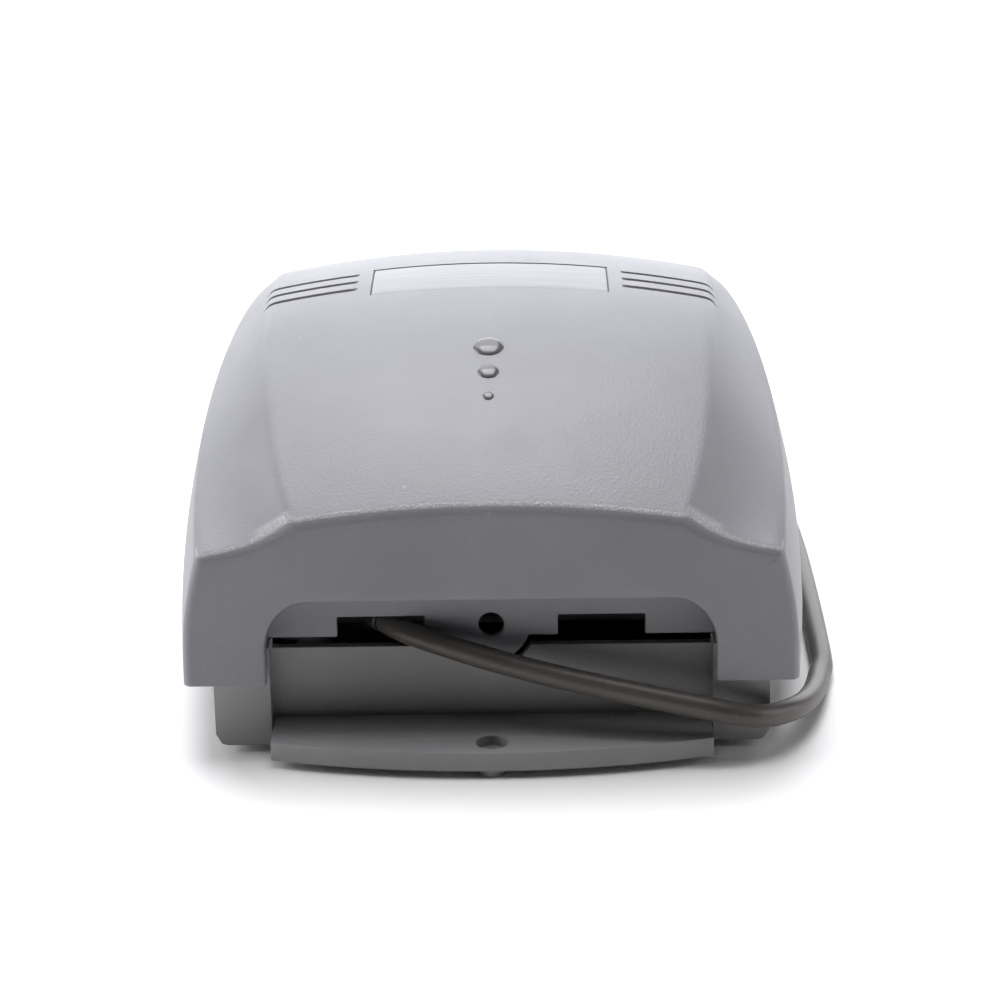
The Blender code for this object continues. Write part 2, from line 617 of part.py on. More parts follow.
def make_supports():
    """Rubber feet and the screws that hold the frames to the base."""
    for name, x, station in (("rear_left", -1, 0.020), ("rear_right", 1, 0.020),
                             ("front_left", -1, 0.126), ("front_right", 1, 0.126)):
        upright("foot_" + name, x * 0.0480, y_of(station), 0.0, FOOT_HEIGHT - GAP, 0.0045, RUBBER,
                16, 0.0050)
    for name, x, station in (("rear_left", -1, 0.058), ("rear_right", 1, 0.058),
                             ("front_left", -1, 0.116), ("front_right", 1, 0.116)):
        upright("frame_screw_" + name, x * 0.0430, y_of(station), BASE_FLOOR_TOP + GAP + 0.0013,
                BASE_FLOOR_TOP + 0.0030, 0.0027, ZINC, 16, 0.0020)


# --- transport ----------------------------------------------------------------------------------
def make_side_frames():
    """Sheet frames that carry the shafts; a slanted arm on each holds the cover's hinge pin."""
    low = BASE_FLOOR_TOP + GAP
    high = GUIDE_BOTTOM - GAP
    head = []
    for i in range(9):
        angle = math.radians(-62 + 210 * i / 8)
        head.append((y_of(HINGE_STATION) + EAR_RADIUS * math.cos(angle),
                     HINGE_HEIGHT + EAR_RADIUS * math.sin(angle)))
    outline = [(y_of(0.050), low), (y_of(0.1255), low), (y_of(0.1255), high), (y_of(0.100), high)]
    outline += head + [(y_of(0.082), high), (y_of(0.050), high)]
    for side, word in ((-1, "left"), (1, "right")):
        x0, x1 = sorted((side * FRAME_X, side * (FRAME_X + FRAME_THICKNESS)))
        frame = side_prism("side_frame_" + word, outline, x0, x1, ZINC)
        for label, station in (("front", FRONT_SHAFT), ("rear", REAR_SHAFT)):
            bore = BUSH_RADIUS + GAP
            combine(frame, turned_x("%s_seat_%s" % (label, word), y_of(station), SHAFT_HEIGHT,
                                    ((x0 - 0.001, bore), (x1 + 0.001, bore)), count=20))
        bore = HINGE_PIN_RADIUS + STEEL_GAP
        combine(frame, turned_x("ear_bore_" + word, y_of(HINGE_STATION), HINGE_HEIGHT,
                                ((x0 - 0.001, bore), (x1 + 0.001, bore)), count=16))
        if side > 0:
            combine(frame, turned_x("motor_shaft_bore", y_of(MOTOR_STATION), MOTOR_HEIGHT,
                                    ((x0 - 0.001, 0.0024), (x1 + 0.001, 0.0024)), count=16))
        foot_x = sorted((side * 0.0395, side * (FRAME_X + 0.0005)))
        for label, station in (("front", 0.116), ("rear", 0.058)):
            combine(frame, box("%s_flange_%s" % (label, word), (foot_x[0], y_of(station - 0.004), low),
                               (foot_x[1], y_of(station + 0.004), low + 0.0010)), "UNION")
        pin_x = sorted((side * 0.0470, side * (LUG_OUTER + 0.0001)))
        turned_x("hinge_pin_" + word, y_of(HINGE_STATION), HINGE_HEIGHT,
                 ((pin_x[0], HINGE_PIN_RADIUS), (pin_x[1], HINGE_PIN_RADIUS)), STEEL, 16)


def make_drive(label, station):
    """One drive shaft with two rubber rollers and a bush at each frame."""
    y = y_of(station)
    r = SHAFT_RADIUS
    turned_x(label + "_drive_shaft", y, SHAFT_HEIGHT,
             ((-SHAFT_HALF_LENGTH, r), (SHAFT_HALF_LENGTH, r)), STEEL, 16)
    for side, word in ((-1, "left"), (1, "right")):
        x0 = side * ROLLER_X - ROLLER_WIDTH / 2
        sleeve_x("%s_roller_%s" % (label, word), y, SHAFT_HEIGHT, x0, x0 + ROLLER_WIDTH,
                 ROLLER_RADIUS, r + GAP, RUBBER, 28)
        mid = side * (FRAME_X + FRAME_THICKNESS / 2)
        sleeve_x("%s_bush_%s" % (label, word), y, SHAFT_HEIGHT, mid - BUSH_LENGTH / 2,
                 mid + BUSH_LENGTH / 2, BUSH_RADIUS, r + STEEL_GAP, BRASS, 20)


def make_pinch(label, station):
    """One-piece idle roller over a drive shaft: two tyres' width on a thin axle."""
    half = ROLLER_WIDTH / 2
    profile = []
    thin = 0.0015
    for x, r in ((-0.0435, thin), (-ROLLER_X - half, thin), (-ROLLER_X - half, PINCH_RADIUS),
                 (-ROLLER_X + half, PINCH_RADIUS), (-ROLLER_X + half, thin)):
        profile.append((x, r))
    profile += [(-x, r) for x, r in reversed(profile)]
    turned_x(label + "_pinch_roller", y_of(station), PINCH_HEIGHT, profile, WHITE, 24)


def make_guides():
    """Lower and upper note guides, slotted for the rollers and sensors."""
    y0, y1 = y_of(GUIDE_REAR), y_of(GUIDE_FRONT)
    lower = box("lower_guide", (-GUIDE_HALF_WIDTH, y0, GUIDE_BOTTOM), (GUIDE_HALF_WIDTH, y1, GUIDE_TOP),
                DARK)
    upper_low = UPPER_GUIDE_BOTTOM
    upper_high = upper_low + GUIDE_THICKNESS
    upper = box("upper_guide", (-GUIDE_HALF_WIDTH, y0, upper_low), (GUIDE_HALF_WIDTH, y1, upper_high), DARK)
    for label, station in (("front", FRONT_SHAFT), ("rear", REAR_SHAFT)):
        for side, word in ((-1, "left"), (1, "right")):
            x = side * ROLLER_X
            wide = ROLLER_WIDTH / 2 + 0.0008
            combine(lower, box("lower_slot_%s_%s" % (label, word),
                               (x - wide, y_of(station - 0.0060), GUIDE_BOTTOM - 0.001),
                               (x + wide, y_of(station + 0.0060), GUIDE_TOP + 0.001)))
            combine(upper, box("upper_slot_%s_%s" % (label, word),
                               (x - wide, y_of(station - 0.0062), upper_low - 0.001),
                               (x + wide, y_of(station + 0.0062), upper_high + 0.001)))
            # hanger that carries the end of the idle roller
            hx = sorted((side * 0.0400, side * 0.0420))
            hanger = box("hanger_%s_%s" % (label, word),
                         (hx[0], y_of(station - 0.0040), upper_high - 0.0005),
                         (hx[1], y_of(station + 0.0040), PINCH_HEIGHT + 0.0035))
            combine(upper, hanger, "UNION")
            bore = 0.0015 + STEEL_GAP
            combine(upper, turned_x("hanger_bore_%s_%s" % (label, word), y_of(station), PINCH_HEIGHT,
                                    ((hx[0] - 0.0015, bore), (hx[1] + 0.0030, bore)), count=16))
    combine(lower, box("lower_sensor_slot", (-0.0300, y_of(SENSOR_STATION - 0.0040), GUIDE_BOTTOM - 0.001),
                       (0.0300, y_of(SENSOR_STATION + 0.0040), GUIDE_TOP + 0.001)))
    combine(upper, box("upper_sensor_slot", (-0.0180, y_of(SENSOR_STATION - 0.0045), upper_low - 0.001),
                       (0.0180, y_of(SENSOR_STATION + 0.0045), upper_high + 0.001)))
    # posts that hang the upper guide from the cover
    for x, station, word in ((-0.030, 0.030, "rear_left"), (0.030, 0.030, "rear_right"),
                             (-0.030, 0.098, "front_left"), (0.030, 0.098, "front_right")):
        top = min(top_height(x, station - 0.003), top_height(x, station + 0.003)) - COVER_WALL - 0.0012
        post = upright("guide_post_" + word, x, y_of(station), upper_high - 0.0005, top, 0.0028)
        combine(upper, post, "UNION")


def make_sensors():
    """Clear strip and its board below the note, magnetic head and its board above it."""
    y = y_of(SENSOR_STATION)
    box("lower_sensor_window", (-0.0297, y - 0.0037, GUIDE_BOTTOM), (0.0297, y + 0.0037, GUIDE_TOP), CLEAR)
    box("lower_sensor_board", (-0.0320, y - 0.0050, GUIDE_BOTTOM - 0.0020),
        (0.0280, y + 0.0050, GUIDE_BOTTOM - GAP), BOARD)
    box("magnetic_head", (-0.0177, y - 0.0042, UPPER_GUIDE_BOTTOM), (0.0177, y + 0.0042, 0.0340), BRASS)
    box("upper_sensor_board", (-0.0320, y - 0.0100, 0.0340 + GAP), (0.0270, y + 0.0080, 0.0356 + GAP), BOARD)


def gear_loop(centre, teeth, phase):
    """Loop of (y, z) points of a gear: four points for each tapered tooth."""
    pitch = GEAR_MODULE * teeth / 2
    turn = 2 * math.pi / teeth
    loop = []
    for i in range(teeth):
        for radius, offset in ((pitch - 1.25 * GEAR_MODULE, -0.27), (pitch + 0.85 * GEAR_MODULE, -0.10),
                               (pitch + 0.85 * GEAR_MODULE, 0.10), (pitch - 1.25 * GEAR_MODULE, 0.27)):
            angle = phase + (i + offset) * turn
            loop.append((centre[0] + radius * math.cos(angle), centre[1] + radius * math.sin(angle)))
    return loop


def make_drive_train():
    """Motor, pinion and gear at the right; toothed belt between the two shafts at the left."""
    motor_y = y_of(MOTOR_STATION)
    face = FRAME_X - GAP
    turned_x("drive_motor", motor_y, MOTOR_HEIGHT,
             ((face - MOTOR_LENGTH, MOTOR_RADIUS - 0.0010), (face - MOTOR_LENGTH + 0.0010, MOTOR_RADIUS),
              (face - 0.0010, MOTOR_RADIUS), (face, MOTOR_RADIUS - 0.0010)), ZINC, 28)
    shaft = (y_of(FRONT_SHAFT), SHAFT_HEIGHT)
    towards = math.atan2(shaft[1] - MOTOR_HEIGHT, shaft[0] - motor_y)
    turned_x("motor_shaft", motor_y, MOTOR_HEIGHT, ((face + GAP, 0.0010), (GEAR_X + GEAR_WIDTH + 0.0004, 0.0010)),
             STEEL, 12)
    sleeve_x("motor_pinion", motor_y, MOTOR_HEIGHT, GEAR_X, GEAR_X + GEAR_WIDTH,
             gear_loop((motor_y, MOTOR_HEIGHT), PINION_TEETH, towards), 0.0010 + GAP, BRASS)
    half_tooth = math.pi / GEAR_TEETH
    sleeve_x("drive_gear", *shaft, GEAR_X, GEAR_X + GEAR_WIDTH,
             gear_loop(shaft, GEAR_TEETH, towards + math.pi + half_tooth), SHAFT_RADIUS + GAP, WHITE)
    x0, x1 = -GEAR_X - GEAR_WIDTH, -GEAR_X
    for label, station in (("front", FRONT_SHAFT), ("rear", REAR_SHAFT)):
        sleeve_x(label + "_pulley", y_of(station), SHAFT_HEIGHT, x0, x1, PULLEY_RADIUS, SHAFT_RADIUS + GAP,
                 WHITE, 24)
    loops = []
    for radius in (PULLEY_RADIUS + GAP + BELT_THICKNESS, PULLEY_RADIUS + GAP):
        loop = []
        for station, start in ((FRONT_SHAFT, -90), (REAR_SHAFT, 90)):
            for i in range(13):
                angle = math.radians(start + 15 * i)
                loop.append((y_of(station) + radius * math.cos(angle), SHAFT_HEIGHT + radius * math.sin(angle)))
        loops.append(loop)
    rings = [[(x, *p) for p in loop] for x, loop in
             ((x0, loops[0]), (x1, loops[0]), (x1, loops[1]), (x0, loops[1]))]
    publish("drive_belt", skin(rings, closed=True), RUBBER)
    sleeve_x("encoder_disc", y_of(REAR_SHAFT), SHAFT_HEIGHT, 0.0520, 0.0528, 0.0085, SHAFT_RADIUS + GAP,
             BLACK, 28)


def make_electronics():
    """Boards and supply parts in the base."""
    floor = BASE_FLOOR_TOP
    main = box("main_board", (-0.0430, y_of(0.0715), floor + 0.0025), (0.0250, y_of(0.0990), floor + 0.0041), BOARD)
    for i, (x, station) in enumerate(((-0.036, 0.076), (0.018, 0.076), (-0.036, 0.095), (0.018, 0.095)), 1):
        combine(main, upright("board_leg_%d" % i, x, y_of(station), floor + GAP, floor + 0.0030, 0.0020, count=12),
                "UNION")
    box("processor_chip", (-0.0180, y_of(0.0790), floor + 0.0041 + GAP),
        (-0.0040, y_of(0.0930), floor + 0.0060), BLACK)
    supply = box("power_supply_board", (-0.0440, y_of(0.0200), floor + 0.0025),
                 (0.0440, y_of(0.0490), floor + 0.0041), BOARD)
    for i, (x, station) in enumerate(((-0.040, 0.0235), (0.040, 0.0235), (-0.040, 0.0455), (0.040, 0.0455)), 1):
        combine(supply, upright("supply_leg_%d" % i, x, y_of(station), floor + GAP, floor + 0.0030, 0.0020, count=12),
                "UNION")
    box("supply_transformer", (0.0060, y_of(0.0240), floor + 0.0041 + GAP),
        (0.0280, y_of(0.0440), floor + 0.0170), BLACK)
    turned_x("supply_capacitor", y_of(0.0400), floor + 0.0041 + GAP + 0.0055,
             ((-0.0320, 0.0045), (-0.0312, 0.0055), (-0.0124, 0.0055), (-0.0118, 0.0047)), ZINC, 20)


# --- mains cord ---------------------------------------------------------------------------------
def smooth_route(points, step):
    """Points at a steady spacing on a Catmull-Rom curve through the route."""
    ends = [2 * points[0] - points[1]] + points + [2 * points[-1] - points[-2]]
    fine = []
    for a, b, c, d in zip(ends, ends[1:], ends[2:], ends[3:]):
        for i in range(20):
            t = i / 20
            fine.append(0.5 * (2 * b + (c - a) * t + (2 * a - 5 * b + 4 * c - d) * t * t
                               + (3 * b - a - 3 * c + d) * t ** 3))
    fine.append(points[-1])
    length = sum((q - p).length for p, q in zip(fine, fine[1:]))
    count = max(2, round(length / step))
    picked, walked, goal = [fine[0]], 0.0, length / count
    for p, q in zip(fine, fine[1:]):
        walked += (q - p).length
        if walked >= goal * len(picked) - 1e-9 and len(picked) < count:
            picked.append(q)
    return picked + [fine[-1]]


def make_tube(name, route):
    """A plain tube of the cord's diameter along a route."""
    points = smooth_route([Vector((x, y_of(s), z)) for x, s, z in route], 2.1 * CORD_DIAMETER)
    curve = bpy.data.curves.new(name, "CURVE")
    curve.dimensions = "3D"
    curve.bevel_depth = CORD_DIAMETER / 2
    curve.bevel_resolution = 2
    curve.use_fill_caps = True
    curve.resolution_u = 1
    curve.render_resolution_u = 0
    line = curve.splines.new("POLY")
    line.points.add(len(points) - 1)
    for node, point in zip(line.points, points):
        node.co = (*point, 1.0)
    tube = bpy.data.objects.new(name, curve)
    curve.materials.append(CORD)
    bpy.context.scene.collection.objects.link(tube)


def make_cord():
    """Gland in the notch, free cord, coil, tail and a flat two-pin plug."""
    start, second = (Vector((x, y_of(station), z)) for x, station, z in CORD_ROUTE[:2])
    back = (start - second).normalized()
    turn = back.to_track_quat("Z", "Y").to_matrix()
    rings = []
    for reach, radius in ((GAP * 1.5, GLAND_RADIUS - GAP), (0.0010, GLAND_RADIUS), (GLAND_LENGTH, GLAND_RADIUS)):
        rings.append([start + back * reach + turn @ Vector((px, py, 0.0))
                      for px, py in circle((0.0, 0.0), radius, 16)])
    publish("cord_gland", skin(rings), BLACK)
    make_tube("cord_tube", CORD_ROUTE)
    centre = Vector((COIL_X, COIL_Y, 0.0))
    rings = []
    half = COIL_BAND / 2
    for r, z in ((-half, 0.0022), (-half + 0.0022, 0.0), (half - 0.0022, 0.0), (half, 0.0022),
                 (half, COIL_HEIGHT - 0.0022), (half - 0.0022, COIL_HEIGHT), (-half + 0.0022, COIL_HEIGHT),
                 (-half, COIL_HEIGHT - 0.0022)):
        rings.append([(x, y, z) for x, y in circle(centre, COIL_TURN_RADIUS + r, 36)])
    publish("cord_coil", skin(rings, closed=True), CORD)
    make_tube("cord_tail", TAIL_ROUTE)
    make_plug()


def make_plug():
    """Flat two-pin mains plug at the tail's end, lying on the table with its pins along -X."""
    end_x, end_station, height = TAIL_ROUTE[-1]
    y = y_of(end_station)
    x = end_x - GAP
    rings = []
    for reach, half_y, half_z in ((0.0, 0.0040, 0.0036), (0.10, 0.0046, 0.0042), (0.45, 0.0100, 0.0060),
                                  (0.62, PLUG_HALF_WIDTH, PLUG_THICKNESS / 2),
                                  (0.96, PLUG_HALF_WIDTH, PLUG_THICKNESS / 2),
                                  (1.0, PLUG_HALF_WIDTH - 0.0012, PLUG_THICKNESS / 2 - 0.0012)):
        ring = []
        for corner_y, corner_z, start in ((1, 1, 0), (-1, 1, 90), (-1, -1, 180), (1, -1, 270)):
            soft = half_z * 0.75
            for i in range(4):
                angle = math.radians(start + 30 * i)
                ring.append((x - reach * PLUG_LENGTH,
                             y + corner_y * (half_y - soft) + soft * math.cos(angle),
                             height + corner_z * (half_z - soft) + soft * math.sin(angle)))
        rings.append(ring)
    publish("plug_body", skin(rings), CORD)
    tip = x - PLUG_LENGTH - GAP
    for side, word in ((-1, "left"), (1, "right")):
        turned_x("plug_pin_" + word, y + side * PIN_SPACING, height,
                 ((tip - PIN_LENGTH, PIN_RADIUS * 0.6), (tip - PIN_LENGTH + 0.001, PIN_RADIUS), (tip, PIN_RADIUS)),
                 STEEL, 14)


make_base()
make_cover()
badge = badge_block("badge_plate", GAP, GAP + BADGE_THICKNESS, GAP)
badge.data.materials.append(BADGE)
make_front_panel()
make_inlet_tray()
make_supports()
make_side_frames()
make_drive("front", FRONT_SHAFT)
make_drive("rear", REAR_SHAFT)
make_pinch("front", FRONT_SHAFT)
make_pinch("rear", REAR_SHAFT)
make_guides()
make_sensors()
make_drive_train()
make_electronics()
make_cord()
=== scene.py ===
"""Bill validator: finished surfaces, materials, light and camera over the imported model.

All lengths are metres. "Station" is the distance forward of the cover's rear wall, which stands
at world y = -0.070, and the table is at z = 0.
"""
import math

import bmesh
import bpy
import numpy as np
from mathutils import Matrix, Vector


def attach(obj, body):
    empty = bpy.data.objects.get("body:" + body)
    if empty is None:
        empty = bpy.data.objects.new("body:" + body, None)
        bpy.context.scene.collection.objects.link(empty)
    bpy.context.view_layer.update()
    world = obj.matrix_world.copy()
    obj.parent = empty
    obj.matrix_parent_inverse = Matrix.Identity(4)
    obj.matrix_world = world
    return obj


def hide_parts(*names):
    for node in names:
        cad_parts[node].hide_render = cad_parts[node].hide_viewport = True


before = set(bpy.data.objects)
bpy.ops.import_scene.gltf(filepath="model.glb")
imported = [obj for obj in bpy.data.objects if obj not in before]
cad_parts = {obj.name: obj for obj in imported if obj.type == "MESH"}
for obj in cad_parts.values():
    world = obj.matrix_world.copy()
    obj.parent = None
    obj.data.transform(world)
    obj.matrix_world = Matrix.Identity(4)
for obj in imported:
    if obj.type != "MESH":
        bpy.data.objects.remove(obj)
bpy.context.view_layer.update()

CAMERA_PLACE = (0.00857, -0.62407, 0.25571)
CAMERA_PITCH, CAMERA_YAW, CAMERA_ROLL = 19.67, -0.635, -0.93      # degrees, pitch downwards
CAMERA_LENS, CAMERA_SENSOR = 104.19, 36.0                         # millimetres

REAR_WALL_Y = -0.070
CORD_DIAMETER = 0.005
COIL = (0.039, 0.130)
COIL_RADIUS = 0.030
COIL_PITCH = 0.0051                     # between neighbouring turns
COIL_TURNS = 5.25
TIE_AT = 0.70                           # where the tie holds the coil, as a share of a turn

BOTTOM = 0.0172
SHELL = 0.0025
RIDGE = 0.0017
COVER_LENGTH = 0.1454
CROWN = (0.086, 0.0823, 0.153)          # station, height and radius of the top's long arc
NOSE = (0.125, 0.010, math.radians(70.0))   # station where it starts, radius, slope after it
CROSS_RADIUS = 0.250                    # of the raised panel across the top
PANEL_REAR, PANEL_GROWTH, PANEL_REACH = 0.0400, 0.0105, 0.025
PANEL_FIXED = 0.0340                    # the panel's columns keep their places up to here
SHOULDER_END = 0.0682                   # height of the shoulder where the nose starts
FLUTE_SAG, FLUTE_LENGTH, WALL_BULGE = 0.0015, 0.100, 0.0012
FOOT_HALF, WIDEST = 0.0700, 0.062       # half width at the bottom edge, and the station of it
REAR_TAPER, FRONT_TAPER = 0.0060, 0.0035
ARCH_HALF, ARCH_TOP, ARCH_CORNER = 0.0469, 0.0357, 0.0090
BADGE_HALF, BADGE_REAR, BADGE_FRONT = 0.0270, 0.0743, 0.0951
BADGE_DEPTH = 0.0010
GROOVES = (0.0795, 0.0852, 0.0914)
GROOVE_INNER, GROOVE_OUTER, GROOVE_HALF = 0.0305, 0.0512, 0.0009
DROPS = ((0.0450, 0.0033, 0.0010), (0.0360, 0.0023, 0.0008), (0.0281, 0.0012, 0.0005))


# --- camera and light -------------------------------------------------------------------------
def make_camera():
    """A long lens behind the validator, looking down on its rear recess."""
    pitch, yaw, roll = (math.radians(turn) for turn in (CAMERA_PITCH, CAMERA_YAW, CAMERA_ROLL))
    forward = Vector((math.sin(yaw) * math.cos(pitch), math.cos(yaw) * math.cos(pitch), -math.sin(pitch)))
    level = forward.cross(Vector((0, 0, 1))).normalized()
    upright = level.cross(forward)
    right = level * math.cos(roll) + upright * math.sin(roll)
    up = right.cross(forward)
    data = bpy.data.cameras.new("camera")
    data.sensor_width = CAMERA_SENSOR
    data.lens = CAMERA_LENS
    data.clip_start = 0.01
    camera = bpy.data.objects.new("camera", data)
    bpy.context.scene.collection.objects.link(camera)
    back, place = -forward, Vector(CAMERA_PLACE)
    camera.matrix_world = Matrix([(right[i], up[i], back[i], place[i]) for i in range(3)] + [(0, 0, 0, 1)])
    bpy.context.scene.camera = camera


def make_panel_light(name, place, aim, width, height, power, colour):
    """A soft rectangular lamp that looks at a point."""
    data = bpy.data.lights.new(name, "AREA")
    data.shape, data.size, data.size_y = "RECTANGLE", width, height
    data.energy, data.color = power, colour
    lamp = bpy.data.objects.new(name, data)
    lamp.location = place
    lamp.rotation_euler = (Vector(aim) - Vector(place)).to_track_quat("-Z", "Y").to_euler()
    bpy.context.scene.collection.objects.link(lamp)


make_camera()
# name, place, point it looks at, width, height, power, colour
LAMPS = (
    ("far_overhead", (-0.20, 0.70, 1.00), (0, 0, 0.04), 1.2, 0.8, 8.2, (0.94, 0.96, 1.0)),
    ("far_screen", (0.0, 1.50, 0.45), (0, 0, 0.06), 2.2, 0.8, 17.5, (0.94, 0.96, 1.0)),
    ("middle_overhead", (0.0, 0.22, 1.20), (0, 0, 0.04), 0.9, 0.7, 12.5, (0.97, 0.98, 1.0)),
    ("straight_above", (0.0, -0.05, 1.20), (0, 0, 0.04), 0.9, 0.9, 3.5, (0.98, 0.98, 1.0)),
    ("left_side", (-1.10, 0.10, 0.45), (0, 0, 0.04), 0.8, 0.7, 9.3, (0.98, 0.98, 1.0)),
    ("right_side", (1.10, 0.10, 0.40), (0, 0, 0.04), 0.8, 0.7, 4.4, (0.98, 0.98, 1.0)),
)
WORLD_LIGHT = 0.02
for lamp in LAMPS:
    make_panel_light(*lamp)


# --- meshes from grids ------------------------------------------------------------------------
def grid_faces(rows, columns, close_rows=False, close_columns=False):
    """Corner numbers of the quads of a grid whose points are stored row after row."""
    r = np.arange(rows if close_rows else rows - 1)
    c = np.arange(columns if close_columns else columns - 1)
    r, c = np.meshgrid(r, c, indexing="ij")
    r2, c2 = (r + 1) % rows, (c + 1) % columns
    corners = [r * columns + c, r * columns + c2, r2 * columns + c2, r2 * columns + c]
    return np.stack(corners, -1).reshape(-1, 4)


def build(name, parts, smooth=None):
    """One object from (points, quads, extra polygons) parts; the normals are made to face outwards.

    Points are merged where parts touch. Edges sharper than `smooth` degrees stay crisp.
    """
    points, faces, start = [], [], 0
    for part in parts:
        points.append(np.asarray(part[0], float).reshape(-1, 3))
        faces += (np.asarray(part[1]) + start).tolist()
        for loop in part[2:]:
            faces.append([int(i) + start for i in loop])
        start += len(points[-1])
    mesh = bpy.data.meshes.new(name)
    mesh.from_pydata(np.concatenate(points).tolist(), [], faces)
    made = bmesh.new()
    made.from_mesh(mesh)
    bmesh.ops.remove_doubles(made, verts=made.verts, dist=2e-6)
    bmesh.ops.dissolve_degenerate(made, edges=made.edges, dist=1e-6)
    bmesh.ops.recalc_face_normals(made, faces=made.faces)
    made.to_mesh(mesh)
    made.free()
    piece = bpy.data.objects.new(name, mesh)
    bpy.context.scene.collection.objects.link(piece)
    if smooth is not None:
        mesh.shade_smooth()
        mesh.set_sharp_from_angle(angle=math.radians(smooth))
    return piece


def closed_tube(name, rings, smooth=50.0):
    """Rings of equal count joined along a path, with a flat polygon at each end."""
    rings = np.asarray(rings, float)
    rows, columns = rings.shape[:2]
    last = (rows - 1) * columns
    return build(name, [(rings, grid_faces(rows, columns, close_columns=True),
                         list(range(columns))[::-1], [last + i for i in range(columns)])], smooth)


def cut(piece, tool, operation="DIFFERENCE"):
    """Exact Boolean, applied; the tool is removed."""
    step = piece.modifiers.new("cut", "BOOLEAN")
    step.operation, step.object, step.solver = operation, tool, "EXACT"
    apply_modifiers(piece)
    bpy.data.objects.remove(tool, do_unlink=True)
    return piece


def apply_modifiers(piece):
    """The piece's mesh becomes what its modifiers make of it."""
    ready = piece.evaluated_get(bpy.context.evaluated_depsgraph_get())
    mesh = bpy.data.meshes.new_from_object(ready)
    piece.modifiers.clear()
    old = piece.data
    piece.data = mesh
    bpy.data.meshes.remove(old)


# --- cord -------------------------------------------------------------------------------------
CORD_ROUTE = (
    (-0.0224, 0.0142, 0.0257), (-0.0203, 0.0117, 0.0254), (-0.0176, 0.0092, 0.0251),
    (-0.0141, 0.0070, 0.0246), (-0.0085, 0.0050, 0.0234), (0.0000, 0.0034, 0.0211),
    (0.0132, 0.0010, 0.0182), (0.0296, -0.0018, 0.0153), (0.0451, -0.0032, 0.0123),
    (0.0527, -0.0026, 0.0104), (0.0580, 0.0004, 0.0090), (0.0633, 0.0062, 0.0078),
    (0.0671, 0.0146, 0.0060), (0.0700, 0.0252, 0.0041), (0.0719, 0.0355, 0.0029),
    (0.0732, 0.0430, 0.0025), (0.0737, 0.0600, 0.0025), (0.0740, 0.0850, 0.0025),
    (0.0740, 0.1150, 0.0025), (0.0732, 0.1380, 0.0025), (0.0711, 0.1530, 0.0025),
    (0.0695, 0.1650, 0.0025), (0.0690, 0.1732, 0.0025))
TAIL_ROUTE = (
    (0.0120, 0.2300, 0.0025), (0.0060, 0.2300, 0.0027), (0.0000, 0.2300, 0.0036),
    (-0.0070, 0.2300, 0.0054), (-0.0140, 0.2300, 0.0066), (-0.0200, 0.2300, 0.0069))


def ease(t):
    """Smooth step from 0 to 1."""
    t = np.clip(t, 0.0, 1.0)
    return t * t * (3 - 2 * t)


def spline(points, per_span=8):
    """Catmull-Rom curve through the points, as an array."""
    p = np.asarray(points, float)
    p = np.vstack([2 * p[0] - p[1], p, 2 * p[-1] - p[-2]])
    t = np.arange(per_span)[None, :, None] / per_span
    a, b, c, d = (p[i:len(p) - 3 + i, None, :] for i in range(4))
    second, third = 2 * a - 5 * b + 4 * c - d, 3 * b - a - 3 * c + d
    fine = 0.5 * (2 * b + (c - a) * t + second * t ** 2 + third * t ** 3)
    return np.vstack([fine.reshape(-1, 3), p[-2]])


def even(points, step):
    """The same line with points a steady distance apart."""
    walked = np.concatenate([[0], np.cumsum(np.linalg.norm(np.diff(points, axis=0), axis=1))])
    goal = np.linspace(0, walked[-1], max(2, round(walked[-1] / step)) + 1)
    return np.stack([np.interp(goal, walked, points[:, i]) for i in range(3)], -1)


def coil_line():
    """Five and a quarter turns in six places of a two-layer ring.

    Each turn moves to the place that the next one left, one at a time, in its own part of the
    turn, so that no two lie in each other: middle, inner, then up and outwards, then down again.
    """
    places = np.array([(0, 0), (-1, 0), (-1, 1), (0, 1), (1, 1), (1, 0)], float)
    turns = np.arange(0.0, COIL_TURNS, 1 / 72)
    number = np.floor(turns + 1e-9).astype(int)
    part = turns - number
    begin = (4 - number) * 0.13 + 0.02
    begin[number >= 5] = 2.0
    share = ease((part - begin) / 0.16)[:, None]
    now = places[number] * (1 - share) + places[np.minimum(number + 1, 5)] * share
    angle = 2 * np.pi * turns
    tie = np.exp(-(((part - TIE_AT) / 0.05) ** 2))
    radius = COIL_RADIUS + COIL_PITCH * now[:, 0]
    height = CORD_DIAMETER / 2 + COIL_PITCH * now[:, 1] * 0.98 + 0.0007 * tie
    return np.stack([COIL[0] + radius * np.cos(angle), COIL[1] + radius * np.sin(angle), height], -1)


def cord_line():
    """The whole free cord: route to the coil, the coil, and the tail to the plug."""
    shift = np.array([0.0, REAR_WALL_Y, 0.0])
    route = np.asarray(CORD_ROUTE) + shift
    tail = np.asarray(TAIL_ROUTE) + shift
    coil = coil_line()
    lead = [(0.0690, 0.1120, CORD_DIAMETER / 2), (0.0690, 0.1210, CORD_DIAMETER / 2)]
    leave = [(0.0300, 0.1645, CORD_DIAMETER / 2), (0.0205, 0.1617, CORD_DIAMETER / 2)]
    line = even(spline(np.vstack([route, lead, coil[::4], coil[-1:], leave, tail])), 0.0024)
    line[:, 2] = np.maximum(line[:, 2], CORD_DIAMETER / 2)
    return line


